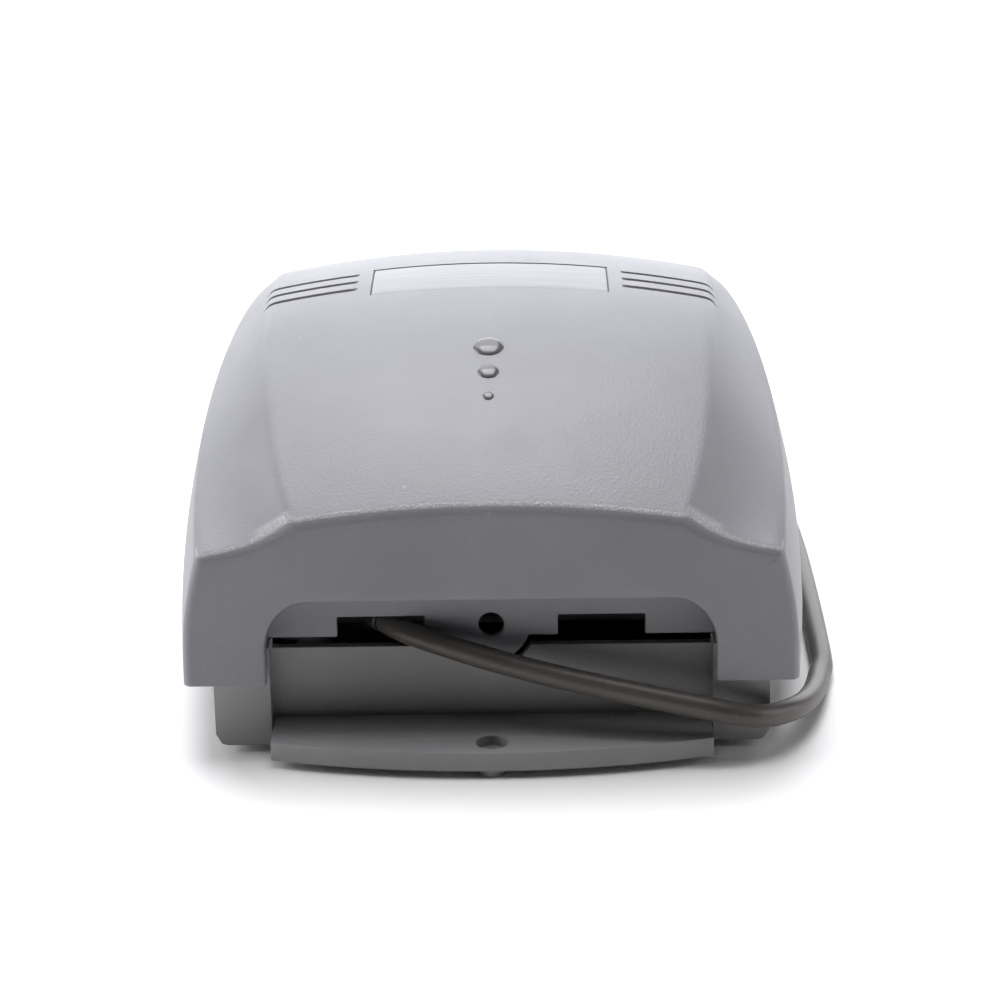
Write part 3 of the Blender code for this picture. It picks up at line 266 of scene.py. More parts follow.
def swept(points, radius, sides=20):
    """Rings square to a path, turned as little as possible."""
    tangent = np.gradient(points, axis=0)
    tangent /= np.linalg.norm(tangent, axis=1)[:, None]
    side = np.cross(tangent, np.array([0.0, 0.0, 1.0]))
    steep = np.linalg.norm(side, axis=1) < 1e-3
    side[steep] = (1.0, 0.0, 0.0)
    side /= np.linalg.norm(side, axis=1)[:, None]
    up = np.cross(side, tangent)
    angle = np.linspace(0, 2 * np.pi, sides, endpoint=False)
    radius = np.broadcast_to(np.asarray(radius, float), (len(points),)).copy()
    ring = (side[:, None] * np.cos(angle)[None, :, None] + up[:, None] * np.sin(angle)[None, :, None])
    return points[:, None] + ring * radius[:, None, None]


def make_cord():
    """The mains cord as one tube, the flat tie round its coil, and the line that it follows."""
    line = cord_line()
    rings = swept(line, CORD_DIAMETER / 2)
    tube = closed_tube("mains_cord", rings, 60.0)
    angle = 2 * np.pi * TIE_AT
    out = np.array([math.cos(angle), math.sin(angle), 0.0])
    across = np.array([-math.sin(angle), math.cos(angle), 0.0])
    middle = np.array([COIL[0], COIL[1], 0.0]) + out * COIL_RADIUS
    t = np.linspace(0, 2 * np.pi, 64, endpoint=False)
    half_r, half_z, power = 0.0083, 0.0058, 0.36
    cx = half_r * np.sign(np.cos(t)) * np.abs(np.cos(t)) ** power
    cz = half_z * np.sign(np.sin(t)) * np.abs(np.sin(t)) ** power
    loops = []
    for grow, width in ((0.0, -0.0022), (0.0005, -0.0019), (0.0005, 0.0019), (0.0, 0.0022)):
        scale = 1 + grow / half_z
        loops.append(middle + across * width + (cx * (1 + grow / half_r))[:, None] * out
                     + np.stack([0 * t, 0 * t, half_z + 0.0001 + cz * scale], -1))
    rings = np.asarray(loops)
    rings[:, :, 2] = np.maximum(rings[:, :, 2], 0.00015)
    tie = build("cord_tie", [(rings, grid_faces(4, 64, close_rows=True, close_columns=True))], 60.0)
    return tube, tie, line


cord, cord_tie, cord_points = make_cord()


# --- the cover's form -------------------------------------------------------------------------
SHOULDER_AT = np.array([0.0, 0.030, 0.060, 0.090, NOSE[0]])
SHOULDER_HALF = np.polyfit(SHOULDER_AT, [0.0602, 0.0626, 0.0624, 0.0603, 0.0555], 4)
SHOULDER_HEIGHT = np.polyfit(SHOULDER_AT, [0.0458, 0.0547, 0.0612, 0.0662, SHOULDER_END], 4)


def top_line(s):
    """Height on the centre plane: a long arc, then the nose's small arc, then a straight slope."""
    station, height, radius = CROWN
    start, nose, slope = NOSE
    lean = math.asin((start - station) / radius)
    hub_s = station + (radius - nose) * math.sin(lean)
    hub_z = height - radius + (radius - nose) * math.cos(lean)
    end_s, end_z = hub_s + nose * math.sin(slope), hub_z + nose * math.cos(slope)
    arc = height - radius + np.sqrt(radius ** 2 - (s - station) ** 2)
    bend = hub_z + np.sqrt(np.maximum(nose ** 2 - (s - hub_s) ** 2, 0.0))
    return np.where(s <= start, arc, np.where(s <= end_s, bend, end_z - (s - end_s) * math.tan(slope)))


def slope_frame():
    """Where the front slope starts, and its two directions: down it and out of it."""
    start, nose, slope = NOSE
    lean = math.asin((start - CROWN[0]) / CROWN[2])
    s = CROWN[0] + (CROWN[2] - nose) * math.sin(lean) + nose * math.sin(slope)
    origin = Vector((0, REAR_WALL_Y + s, float(top_line(np.array(s)))))
    down = Vector((0, math.cos(slope), -math.sin(slope)))
    return origin, down, Vector((0, math.sin(slope), math.cos(slope)))


def panel_half(s):
    """Half width of the raised panel, which widens quickly ahead of the rear wall."""
    return PANEL_REAR + PANEL_GROWTH * (1 - np.exp(-s / PANEL_REACH))


def foot_half(s):
    """Half width at the bottom edge, drawn in towards both ends."""
    rear = FOOT_HALF - REAR_TAPER * np.clip((WIDEST - s) / WIDEST, 0, 1) ** 1.25
    return rear - FRONT_TAPER * np.clip((s - WIDEST) / (COVER_LENGTH - WIDEST), 0, 1) ** 2.2


# Half section's columns, from the centre: fixed places on the panel, then shares of each zone.
FIXED_X = np.concatenate([np.arange(0.0, 0.0266, 0.0012),
                          [0.02693, 0.02707, 0.0286, 0.0300, 0.0306, 0.0312, 0.0325, 0.0340]])
TO_EDGE = np.linspace(0, 1, 13)[1:]
IN_FLUTE = np.linspace(0, 1, 25)[1:]
IN_WALL = np.linspace(0, 1, 43)[1:] ** 1.15
ZONES = np.concatenate([np.zeros(len(FIXED_X)), np.full(len(TO_EDGE), 1), np.full(len(IN_FLUTE), 2),
                        np.full(len(IN_WALL), 3)])
SHARES = np.concatenate([FIXED_X, TO_EDGE, IN_FLUTE, IN_WALL])
HALF_COLUMNS = len(SHARES)


def raw_section(s):
    """Half section (x, z) for an array of stations shaped rows by columns, before its edges are eased.

    Panel: z falls as x squared over twice the cross radius. Flute: a line from the panel's edge
    to the shoulder that sags by a sine. Wall: a line from shoulder to foot that bulges by a sine.
    """
    crest = top_line(s)
    edge_x = panel_half(s)
    edge_z = crest - edge_x ** 2 / (2 * CROSS_RADIUS)
    level = np.minimum(s, NOSE[0])
    shoulder_x = np.polyval(SHOULDER_HALF, level)
    drop = float(top_line(np.array(NOSE[0]))) - SHOULDER_END
    shoulder_z = np.where(s > NOSE[0], crest - drop, np.polyval(SHOULDER_HEIGHT, level))
    sag = FLUTE_SAG * np.clip(1 - s / FLUTE_LENGTH, 0, 1)
    t = SHARES[None, :] + 0 * s
    x0 = np.where(ZONES == 0, t, PANEL_FIXED + (edge_x - PANEL_FIXED) * t)
    z0 = crest - x0 ** 2 / (2 * CROSS_RADIUS)
    x2 = edge_x + (shoulder_x - edge_x) * t
    z2 = edge_z + (shoulder_z - edge_z) * t - sag * np.sin(np.pi * np.clip(t, 0, 1) ** 0.8)
    x3 = shoulder_x + (foot_half(s) - shoulder_x) * t + WALL_BULGE * np.sin(np.pi * np.clip(t, 0, 1))
    z3 = shoulder_z + (BOTTOM - shoulder_z) * t
    x = np.where(ZONES < 2, x0, np.where(ZONES == 2, x2, x3))
    z = np.where(ZONES < 2, z0, np.where(ZONES == 2, z2, z3))
    return x, z


def easing_matrix():
    """Weights that round the section's edges: each column becomes a bell-shaped mean of its neighbours."""
    x, z = raw_section(np.full((1, HALF_COLUMNS), 0.050))
    x, z = x[0], z[0]
    length = np.concatenate([[0], np.cumsum(np.hypot(np.diff(x), np.diff(z)))])
    edge = length[int(np.argmax(ZONES == 2)) - 1]
    shoulder = length[int(np.argmax(ZONES == 3)) - 1]
    full = np.concatenate([-length[:0:-1], length])
    spacing = np.gradient(full)
    at_edge = 0.0009 * np.exp(-((length - edge) / 0.0045) ** 2)
    at_shoulder = 0.0010 * np.exp(-((length - shoulder) / 0.005) ** 2)
    width = 0.0002 + at_edge + at_shoulder
    width = np.where(length > length[-1] - 0.004, 1e-5, width)
    weight = np.exp(-((length[:, None] - full[None, :]) / width[:, None]) ** 2 / 2) * spacing[None, :]
    return weight / weight.sum(axis=1)[:, None]


EASING = easing_matrix()


def section(s, inset=0.0):
    """Half section with eased edges, drawn in along its own normals by `inset`."""
    x, z = raw_section(s)
    x = np.concatenate([-x[:, :0:-1], x], 1) @ EASING.T
    z = np.concatenate([z[:, :0:-1], z], 1) @ EASING.T
    z[:, -1] = BOTTOM
    dx, dz = np.gradient(x, axis=1), np.gradient(z, axis=1)
    dx[:, 0], dz[:, 0] = 1.0, 0.0
    size = np.hypot(dx, dz)
    x, z = x + inset * dz / size, z - inset * dx / size
    x[:, 0] = 0.0
    z = np.maximum(z, BOTTOM)
    z[:, -1] = BOTTOM
    return x, z


def arch(grow=0.0):
    """Half outline of the recess's mouth, column by column with the section round it.

    Flat top, then a quarter ellipse, then a straight side down to the bottom edge.
    """
    flat = ARCH_HALF - ARCH_CORNER
    rx, rz = ARCH_CORNER + grow, ARCH_CORNER * 1.2 + grow
    centre_z = ARCH_TOP - ARCH_CORNER * 1.2
    x = np.where(ZONES == 0, SHARES, PANEL_FIXED + (PANEL_REAR - PANEL_FIXED) * SHARES)
    x = x * flat / PANEL_REAR
    z = np.full(HALF_COLUMNS, ARCH_TOP + grow)
    turn = np.where(ZONES == 2, SHARES * 0.62, 0.62 + np.minimum(SHARES / 0.45, 1.0) * 0.38) * np.pi / 2
    down = np.clip((SHARES - 0.45) / 0.55, 0, 1)
    x = np.where(ZONES >= 2, flat + rx * np.sin(turn), x)
    z = np.where(ZONES >= 2, centre_z + rz * np.cos(turn), z)
    z = np.where((ZONES == 3) & (down > 0), centre_z + (BOTTOM - centre_z) * down, z)
    return x, z


def both_sides(x, y, z):
    """Rows of whole outlines, left to right, from half outlines."""
    rows = max(np.shape(v)[0] if np.ndim(v) > 1 else 1 for v in (x, y, z))
    x, y, z = (np.broadcast_to(v, (rows, HALF_COLUMNS)) for v in (x, y, z))
    return np.stack([np.concatenate([-x[:, :0:-1], x], 1), np.concatenate([y[:, :0:-1], y], 1),
                     np.concatenate([z[:, :0:-1], z], 1)], -1)


def top_rows():
    """Stations of the rows from the ridge to the front, close together where grooves and badge lie."""
    groove = np.array([-0.0011, -0.00092, -0.00087, -0.0007, -0.0004, 0.0,
                       0.0004, 0.0007, 0.00087, 0.00092, 0.0011])
    rows = [np.arange(RIDGE + 0.0006, 0.0735, 0.0014),
            [BADGE_REAR - 0.00007, BADGE_REAR + 0.00007, 0.0755, 0.0770, 0.0782]]
    rows += [g + groove for g in GROOVES]
    rows += [[0.0812, 0.0822, 0.0833, 0.0870, 0.0885, 0.0898, 0.0934,
              BADGE_FRONT - 0.00007, BADGE_FRONT + 0.00007],
             np.arange(0.0965, 0.1245, 0.0014)]
    start, nose, slope = NOSE
    lean = math.asin((start - CROWN[0]) / CROWN[2])
    hub = CROWN[0] + (CROWN[2] - nose) * math.sin(lean)
    rows += [hub + nose * np.sin(np.linspace(lean, slope, 14)),
             np.linspace(hub + nose * math.sin(slope), COVER_LENGTH, 12)[1:]]
    return np.sort(np.concatenate(rows))


def groove_slip(x):
    """How far each groove's end bends rearward as it runs over the panel's edge."""
    return np.interp(x, [0.0470, 0.0500, GROOVE_OUTER, 0.0560, 0.0600],
                     [0.0, 0.0002, 0.0010, 0.0024, 0.0030])


def make_cover_shell():
    """The domed shell: mouth wall, rear wall, ridge, top, nose, slope, then the inner side back again."""
    ax, az = arch()
    rows = [both_sides(ax, REAR_WALL_Y + s, az) for s in (SHELL, 0.0016, 0.0007)]
    for a in np.linspace(0, np.pi / 2, 5):
        gx, gz = arch(0.0006 * (1 - math.cos(a)))
        lowest = np.arange(HALF_COLUMNS) == HALF_COLUMNS - 1
        rows.append(both_sides(gx, REAR_WALL_Y + 0.0006 * (1 - math.sin(a)), np.where(lowest, BOTTOM, gz)))
    gx, gz = arch(0.0006)
    rx, rz = section(np.zeros((1, HALF_COLUMNS)), RIDGE)
    for t in (0.12, 0.35, 0.65, 0.88):
        rows.append(both_sides(gx + (rx - gx) * t, REAR_WALL_Y, gz + (rz - gz) * t))
    for a in np.linspace(np.pi / 2, 0, 9):
        s = RIDGE * (1 - math.sin(a))
        x, z = section(np.full((1, HALF_COLUMNS), s), RIDGE * (1 - math.cos(a)))
        rows.append(both_sides(x, REAR_WALL_Y + s, z))

    level = top_rows()
    s = level[:, None] + np.zeros((1, HALF_COLUMNS))
    x, z = section(s)
    window = ease((level - 0.062) / 0.012) * ease((0.112 - level) / 0.016)
    slip = groove_slip(x) * window[:, None]
    x, z = section(s - slip)
    smooth_x, smooth_y, smooth_z = x, REAR_WALL_Y + s - slip, z
    dent = np.zeros_like(z)
    for g in GROOVES:
        across = np.sqrt(np.clip(1 - ((s - g) / GROOVE_HALF) ** 2, 0, 1))
        along = ease((x - GROOVE_INNER + 0.0003) / 0.0007) * ease((GROOVE_OUTER + 0.0006 - x) / 0.0022)
        dent += 0.0010 * across * along
    floor = z - BADGE_DEPTH
    in_badge = (x < BADGE_HALF) & (s > BADGE_REAR) & (s < BADGE_FRONT)
    z = np.where(in_badge, floor, z - dent)
    rows.append(both_sides(smooth_x, smooth_y, z))

    keep = np.concatenate([np.arange(2, len(level) - 1, 3), [len(level) - 1]])
    outer = both_sides(smooth_x[keep], smooth_y[keep], smooth_z[keep])
    du, dv = np.gradient(outer, axis=0), np.gradient(outer, axis=1)
    normal = np.cross(du, dv)
    normal /= np.linalg.norm(normal, axis=2)[..., None]
    normal *= np.sign(normal[:, HALF_COLUMNS - 1, 2])[:, None, None]
    inner = outer - normal * SHELL
    inner[:, (0, -1), 2] = BOTTOM
    inner[..., 1] = np.maximum(inner[..., 1], REAR_WALL_Y + SHELL)
    inner[..., 2] = np.maximum(inner[..., 2], BOTTOM)
    rows.append(inner[::-1])
    grid = np.concatenate(rows)
    n, m = grid.shape[:2]
    edge = [list(np.arange(n) * m), list(np.arange(n)[::-1] * m + m - 1)]
    return build("cover_shell", [(grid, grid_faces(n, m, close_rows=True), *edge)], 32.0)


def drop_dome(station, radius, height):
    """A low lens with a rounded rim, tilted with the top: height falls as a power of the radius."""
    r = np.concatenate([[1.0], np.cos(np.linspace(0, np.pi / 2, 12))[:-1], [0.02]])
    lift = np.concatenate([[-0.4], (1 - r[1:] ** 2.6) ** 0.62])
    angle = np.linspace(0, 2 * np.pi, 48, endpoint=False)
    x = radius * r[:, None] * np.cos(angle)
    s = station + radius * r[:, None] * np.sin(angle)
    z = top_line(s) - x ** 2 / (2 * CROSS_RADIUS) + height * lift[:, None]
    rings = np.stack([x, REAR_WALL_Y + s, z], -1)
    last = (len(r) - 1) * 48
    quads = grid_faces(len(r), 48, close_columns=True)
    return (rings, quads, list(range(48))[::-1], [last + i for i in range(48)])


def slope_tool(name, outline, depths):
    """A cutter square to the front slope: an outline (across, down) between depths along its normal."""
    origin, down, out = slope_frame()
    rings = [[tuple(origin + Vector((x, 0, 0)) + down * d + out * depth) for x, d in outline]
             for depth in depths]
    return closed_tube(name, rings)


def rounded(x, d, half_x, half_d, radius, count=6):
    """Outline of a rectangle with round corners."""
    turn = np.linspace(0, np.pi / 2, count)
    points = []
    for corner, (sx, sd) in enumerate(((1, 1), (-1, 1), (-1, -1), (1, -1))):
        for a in turn + corner * np.pi / 2:
            points.append((x + sx * (half_x - radius) + radius * math.cos(a),
                           d + sd * (half_d - radius) + radius * math.sin(a)))
    return points


def disc(x, d, radius, count=48):
    """Outline of a circle."""
    a = np.linspace(0, 2 * np.pi, count, endpoint=False)
    return list(zip(x + radius * np.cos(a), d + radius * np.sin(a)))


def make_cover():
    """Shell with its openings, the three drops, and the lining of the recess, at whose back the tabbed plate
    stands.
    """
    shell = make_cover_shell()
    opening = [[(x, REAR_WALL_Y + s, z) for x, z in rounded(0.0, 0.0200, 0.0592, 0.0144, 0.003)]
               for s in (0.1345, COVER_LENGTH + 0.004)]
    cut(shell, closed_tube("front_opening", opening))
    cut(shell, slope_tool("window_opening", rounded(0.0, 0.0110, 0.0260, 0.0070, 0.0012), (-0.006, 0.004)))
    for i in (-1, 0, 1):
        cut(shell, slope_tool("key_hole", disc(i * 0.017, 0.0265, 0.0053), (-0.006, 0.004)))
    shell.data.shade_smooth()
    shell.data.set_sharp_from_angle(angle=math.radians(32))

    x, z = arch()
    high = z > 0.0240
    x, z = np.append(x[high], ARCH_HALF), np.append(z[high], 0.0241)
    gx, gz = arch(0.002)
    gx, gz = np.append(gx[high], ARCH_HALF + 0.002), np.append(gz[high], 0.0241)
    loops = []
    for px, pz, s in ((x, z, 0.0024), (x, z, 0.0110), (gx, gz, 0.0120), (gx, gz, 0.0024)):
        loops.append(np.stack([np.concatenate([-px[:0:-1], px]), np.full(2 * len(px) - 1, REAR_WALL_Y + s),
                               np.concatenate([pz[:0:-1], pz])], -1))
    grid = np.asarray(loops)
    m = grid.shape[1]
    lining = build("recess_lining", [(grid, grid_faces(4, m, close_rows=True), [0, m, 2 * m, 3 * m],
                                      [4 * m - 1, 3 * m - 1, 2 * m - 1, m - 1])], 30.0)
    return shell, lining, build("cover_drops", [drop_dome(*d) for d in DROPS], 60.0)


def make_badge():
    """A thin curved label plate in its recess: the top's own form over a rectangle with eased edges."""
    depth, gap, thick = BADGE_DEPTH, 0.00035, 0.0006
    across = np.linspace(-1, 1, 49)[None, :]
    down = np.linspace(-1, 1, 21)[:, None]
    half = BADGE_HALF - gap
    middle, reach = (BADGE_REAR + BADGE_FRONT) / 2, (BADGE_FRONT - BADGE_REAR) / 2 - gap
    sheets = []
    for lift, pull in ((gap * 0.8, 0.0), (thick - 0.0002, 0.0),
                       (thick - 0.00006, 0.00007), (thick, 0.00022)):
        x = across * (half - pull) + 0 * down
        s = middle + down * (reach - pull) + 0 * across
        z = top_line(s) - x ** 2 / (2 * CROSS_RADIUS) - depth + gap * 0.8 + lift
        sheets.append(np.stack([x, REAR_WALL_Y + s, z], -1))
    parts = [(sheets[0], grid_faces(21, 49)), (sheets[-1], grid_faces(21, 49))]
    for a, b in zip(sheets, sheets[1:]):
        rims = [np.concatenate([g[0], g[1:, -1], g[-1, -2::-1], g[-2:0:-1, 0]]) for g in (a, b)]
        parts.append((np.asarray(rims), grid_faces(2, len(rims[0]), close_columns=True)))
    return build("label_plate", parts, 30.0)


def make_plate():
    """Plate across the back of the recess: two notches, a round tab with a screw hole in it.

    It is two halves that meet on the centre line, so that neither outline has a hole.
    """
    a = np.linspace(-np.pi / 2, -0.297, 14)
    tab = [(0.0082 * math.cos(t), 0.0262 + 0.0082 * math.sin(t)) for t in a]
    lower = tab + [(0.0141, 0.0238), (0.0141, 0.0283), (0.0324, 0.0283), (0.0324, 0.0238), (0.0479, 0.0238)]
    x, z = arch(0.0010)
    high = z > 0.0245
    upper = list(zip(x[high], z[high]))[::-1]
    t = np.linspace(np.pi / 2, -np.pi / 2, 17)
    hole = [(0.0027 * math.cos(v), 0.0262 + 0.0027 * math.sin(v)) for v in t]
    loop = np.array(lower + upper[::3] + [upper[-1]] + hole)
    parts = []
    for side in (1, -1):
        n = len(loop)
        rings = [np.stack([loop[:, 0] * side, np.full(n, REAR_WALL_Y + s), loop[:, 1]], -1)
                 for s in (0.0100, 0.0120)]
        parts.append((np.asarray(rings), grid_faces(2, n, close_columns=True), list(range(n)),
                      list(range(n, 2 * n))[::-1]))
    plate = build("recess_plate", parts)
    made = bmesh.new()
    made.from_mesh(plate.data)
    seam = [f for f in made.faces if all(abs(v.co.x) < 1e-7 for v in f.verts)]
    bmesh.ops.delete(made, geom=seam, context="FACES_ONLY")
    bmesh.ops.remove_doubles(made, verts=made.verts, dist=1e-7)
    bmesh.ops.recalc_face_normals(made, faces=made.faces)
    made.to_mesh(plate.data)
    made.free()
    soften(plate, 0.00035)
    return plate


def soften(piece, width, angle=38.0, segments=3):
    """Rounds a piece's sharp edges and shades it smoothly between them."""
    step = piece.modifiers.new("eased_edges", "BEVEL")
    step.width, step.segments, step.limit_method = width, segments, "ANGLE"
    step.angle_limit = math.radians(angle)
    step.harden_normals = True
    piece.data.shade_smooth()
    return piece


def eased_copy(node, width, name=None, angle=38.0, segments=3):
    """A merged copy of a CAD node with flat areas joined up and its edges rounded."""
    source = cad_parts[node]
    mesh = source.data.copy()
    made = bmesh.new()
    made.from_mesh(mesh)
    bmesh.ops.remove_doubles(made, verts=made.verts, dist=2e-6)
    bmesh.ops.dissolve_limit(made, angle_limit=math.radians(1.0), verts=made.verts, edges=made.edges)
    made.to_mesh(mesh)
    made.free()
    piece = bpy.data.objects.new(name or node + "_finished", mesh)
    bpy.context.scene.collection.objects.link(piece)
    soften(piece, width, angle, segments)
    return piece


# --- finishes ---------------------------------------------------------------------------------
class Wire:
    """A node's output that plain arithmetic works on."""

    def __init__(self, finish, socket):
        self.finish, self.socket = finish, socket

    def maths(self, operation, *inputs):
        return self.finish.node("Math", {"operation": operation}, inputs)

    def __add__(self, other):
        return self.maths("ADD", self, other)

    def __sub__(self, other):
        return self.maths("SUBTRACT", self, other)

    def __mul__(self, other):
        return self.maths("MULTIPLY", self, other)

    def __neg__(self):
        return self.maths("MULTIPLY", self, -1.0)

    __radd__ = __add__
    __rmul__ = __mul__

    def step(self, low, high):
        """0 below low, 1 above high, eased between; low may be the larger."""
        eased = {"interpolation_type": "SMOOTHSTEP"}
        return self.finish.node("MapRange", eased, (self, low, high, 0.0, 1.0))

    def among(self, low, high):
        """The same value spread between two others."""
        return self.finish.node("MapRange", None, (self, 0.0, 1.0, low, high))


class Finish:
    """One procedural material."""

    def __init__(self, name):
        self.material = bpy.data.materials.new(name)
        self.material.use_nodes = True
        self.tree = self.material.node_tree
        self.tree.nodes.clear()

    def node(self, kind, settings=None, inputs=(), output=0):
        made = self.tree.nodes.new("ShaderNode" + kind)
        for key, value in (settings or {}).items():
            setattr(made, key, value)
        named = inputs.items() if isinstance(inputs, dict) else enumerate(inputs)
        for key, value in named:
            if isinstance(value, Wire):
                self.tree.links.new(value.socket, made.inputs[key])
            elif value is not None:
                made.inputs[key].default_value = value
        return Wire(self, made.outputs[output])

    def place(self):
        """Object coordinates."""
        return self.node("TexCoord", None, (), "Object")

    def facing(self):
        """The surface's own direction, in object axes, as three numbers."""
        normal = self.node("TexCoord", None, (), "Normal")
        return [self.node("SeparateXYZ", None, (normal,), i) for i in range(3)]

    def axes(self, vector=None):
        vector = vector or self.place()
        return [self.node("SeparateXYZ", None, (vector,), i) for i in range(3)]

    def stretched(self, scale):
        """Object coordinates scaled differently along each axis."""
        return self.node("Mapping", None, {"Vector": self.place(), "Scale": scale})

    def noise(self, size, detail=2.0, rough=0.5, vector=None):
        """Cloudy values with features of this size in metres."""
        return self.node("TexNoise", None, {"Vector": vector or self.place(), "Scale": 1.0 / size,
                                            "Detail": detail, "Roughness": rough})

    def cells(self, size, feature="F1", vector=None, randomness=1.0):
        """Distance to the nearest of scattered points this far apart."""
        inputs = {"Vector": vector or self.place(), "Scale": 1.0 / size, "Randomness": randomness}
        return self.node("TexVoronoi", {"feature": feature}, inputs, "Distance")

    def blend(self, first, second, share):
        """From one colour to another."""
        return self.node("Mix", {"data_type": "RGBA"}, {0: share, 6: colour(first), 7: colour(second)}, 2)

    def bump(self, height, depth, under=None):
        """A bump of this depth in metres where the height goes from 0 to 1."""
        inputs = {"Height": height, "Distance": depth, "Strength": 1.0}
        if under is not None:
            inputs["Normal"] = under
        return self.node("Bump", None, inputs)

    def surface(self, base, rough, metal=0.0, normal=None, coat=0.0, coat_rough=0.1, level=0.5, ior=1.5,
                through=0.0, alpha=1.0):
        inputs = {"Base Color": colour(base), "Roughness": rough, "Metallic": metal, "Coat Weight": coat,
                  "Coat Roughness": coat_rough, "Specular IOR Level": level, "IOR": ior,
                  "Transmission Weight": through, "Alpha": alpha}
        if normal is not None:
            inputs["Normal"] = normal
        shader = self.node("BsdfPrincipled", None, inputs)
        out = self.tree.nodes.new("ShaderNodeOutputMaterial")
        self.tree.links.new(shader.socket, out.inputs["Surface"])
        return self.material


def colour(value):
    """Three numbers become a colour; a wire passes through."""
    return value if isinstance(value, Wire) else (*value, 1.0)


def moulded(name, base, rough=0.48, grain=0.00055, depth=0.000045, worn=0.10, tint=0.05):
    """Spark-eroded moulded plastic: pebbled grain, cloudy colour, a few pale nicks and dust."""
    f = Finish(name)
    grain_cells = f.cells(grain, "SMOOTH_F1")
    fine = f.noise(grain * 0.8, 3.0, 0.6)
    cloud = f.noise(0.035, 3.0, 0.55)
    rub = f.noise(0.011, 4.0, 0.6)
    height = grain_cells * 0.6 + fine * 0.6
    nick = f.cells(0.009).step(0.055, 0.035) * f.noise(0.02, 1.0).step(0.52, 0.60)
    light = tuple(min(1.0, c * (1 + tint)) for c in base)
    dark = tuple(c * (1 - tint) for c in base)
    body = f.blend(dark, light, cloud.step(0.3, 0.7))
    body = f.blend(body, tuple(min(1.0, c * 1.5 + 0.03) for c in base), nick * 0.5)
    body = f.blend(body, tuple(c * 0.86 for c in base), fine.step(0.55, 0.75) * 0.35)
    roughness = rub.among(rough - worn * 0.5, rough + worn * 0.5) + fine.among(-0.04, 0.04)
    return f, body, roughness, height, depth


def cover_grey():
    """The cover's blue-grey ABS, shinier along the rear ridge, where pale speckles are partly rubbed wear and
    partly a painted highlight on the rounding that faces the light.
    """
    f, body, roughness, height, depth = moulded("cover_grey", (0.225, 0.223, 0.240), 0.46, depth=0.00009)
    _, y, _ = f.axes()
    _, ny, nz = f.facing()
    lit_rounding_band = nz.step(0.56, 0.66) * nz.step(0.82, 0.75) * (-ny).step(0.15, 0.35)
    ridge = (y + 0.0670).step(0.0012, -0.0004) * lit_rounding_band
    speckle = f.noise(0.00042, 2.0, 0.7).step(0.46, 0.62) * f.noise(0.004, 2.0).among(0.55, 1.0)
    # Pale band on the ridge's rounding, picked by facing direction: rubbed wear and painted highlight.
    body = f.blend(body, (0.60, 0.59, 0.60), ridge * speckle.among(0.35, 1.0) * 0.70)
    roughness = roughness - ridge * 0.20
    return f.surface(body, roughness, normal=f.bump(height, depth), level=0.5)


def drop_grey_painted_shade():
    """The three drops, the cover's plastic polished bright, with its colour darkened to under half as painted
    shade.
    """
    # Painted shade: the cover's plastic at under half its colour.
    f, body, roughness, height, depth = moulded("drop_grey_painted_shade", (0.105, 0.102, 0.106), 0.24, depth=0.000006)
    return f.surface(body, roughness, normal=f.bump(height, depth), coat=0.15, coat_rough=0.12)


def base_grey():
    """The lower housing, the same plastic a little darker and warmer."""
    f, body, roughness, height, depth = moulded("base_grey", (0.275, 0.266, 0.270), 0.50)
    return f.surface(body, roughness, normal=f.bump(height, depth))


def plain_moulded(name, base, rough, grain=0.0004, depth=0.00002, worn=0.12):
    f, body, roughness, height, depth = moulded(name, base, rough, grain, depth, worn)
    return f.surface(body, roughness, normal=f.bump(height, depth))


def badge_finish():
    """Satin aluminium-look label plate with fine lengthwise brushing."""
    f = Finish("badge_satin")
    brush = f.noise(0.0012, 3.0, 0.6, f.stretched((0.03, 1.0, 1.0)))
    cloud = f.noise(0.012, 2.0)
    body = f.blend((0.262, 0.264, 0.278), (0.292, 0.294, 0.308), brush.step(0.3, 0.7))
    return f.surface(body, cloud.among(0.42, 0.50), normal=f.bump(brush, 0.000006))


def cord_pvc():
    """Black flexible PVC, slightly brown, with a satin skin, faint drag lines and dust."""
    f = Finish("cord_pvc")
    cloud = f.noise(0.02, 3.0)
    skin = f.noise(0.0007, 3.0, 0.6)
    dust = f.noise(0.0016, 4.0, 0.7).step(0.56, 0.72)
    body = f.blend((0.062, 0.054, 0.048), (0.082, 0.073, 0.065), cloud.step(0.3, 0.7))
    body = f.blend(body, (0.15, 0.145, 0.14), dust * 0.25)
    return f.surface(body, cloud.among(0.30, 0.42) + skin * 0.08, normal=f.bump(skin, 0.00003))


def rubber_finish():
    f = Finish("rubber")
    skin = f.noise(0.0005, 3.0, 0.7)
    wear = f.noise(0.004, 3.0)
    body = f.blend((0.020, 0.020, 0.020), (0.045, 0.043, 0.041), wear.step(0.4, 0.7))
    return f.surface(body, wear.among(0.62, 0.8), normal=f.bump(skin, 0.00004))


def metal_finish(name, base, rough, along=(1.0, 1.0, 1.0), grain=0.0008):
    """Metal with drawn or turned lines, a cloudy tarnish and light scratches."""
    f = Finish(name)
    lines = f.noise(grain, 4.0, 0.65, f.stretched(along))
    stain = f.noise(0.006, 4.0, 0.6)
    dull = tuple(c * 0.72 for c in base)
    body = f.blend(dull, base, stain.step(0.35, 0.6))
    return f.surface(body, stain.among(rough - 0.08, rough + 0.12) + lines * 0.08, metal=1.0,
                     normal=f.bump(lines, 0.000006))


def acetal_finish():
    f = Finish("acetal")
    cloud = f.noise(0.005, 2.0)
    skin = f.noise(0.0006, 2.0)
    body = f.blend((0.66, 0.65, 0.60), (0.76, 0.75, 0.71), cloud.step(0.3, 0.7))
    return f.surface(body, cloud.among(0.32, 0.46), normal=f.bump(skin, 0.00001))


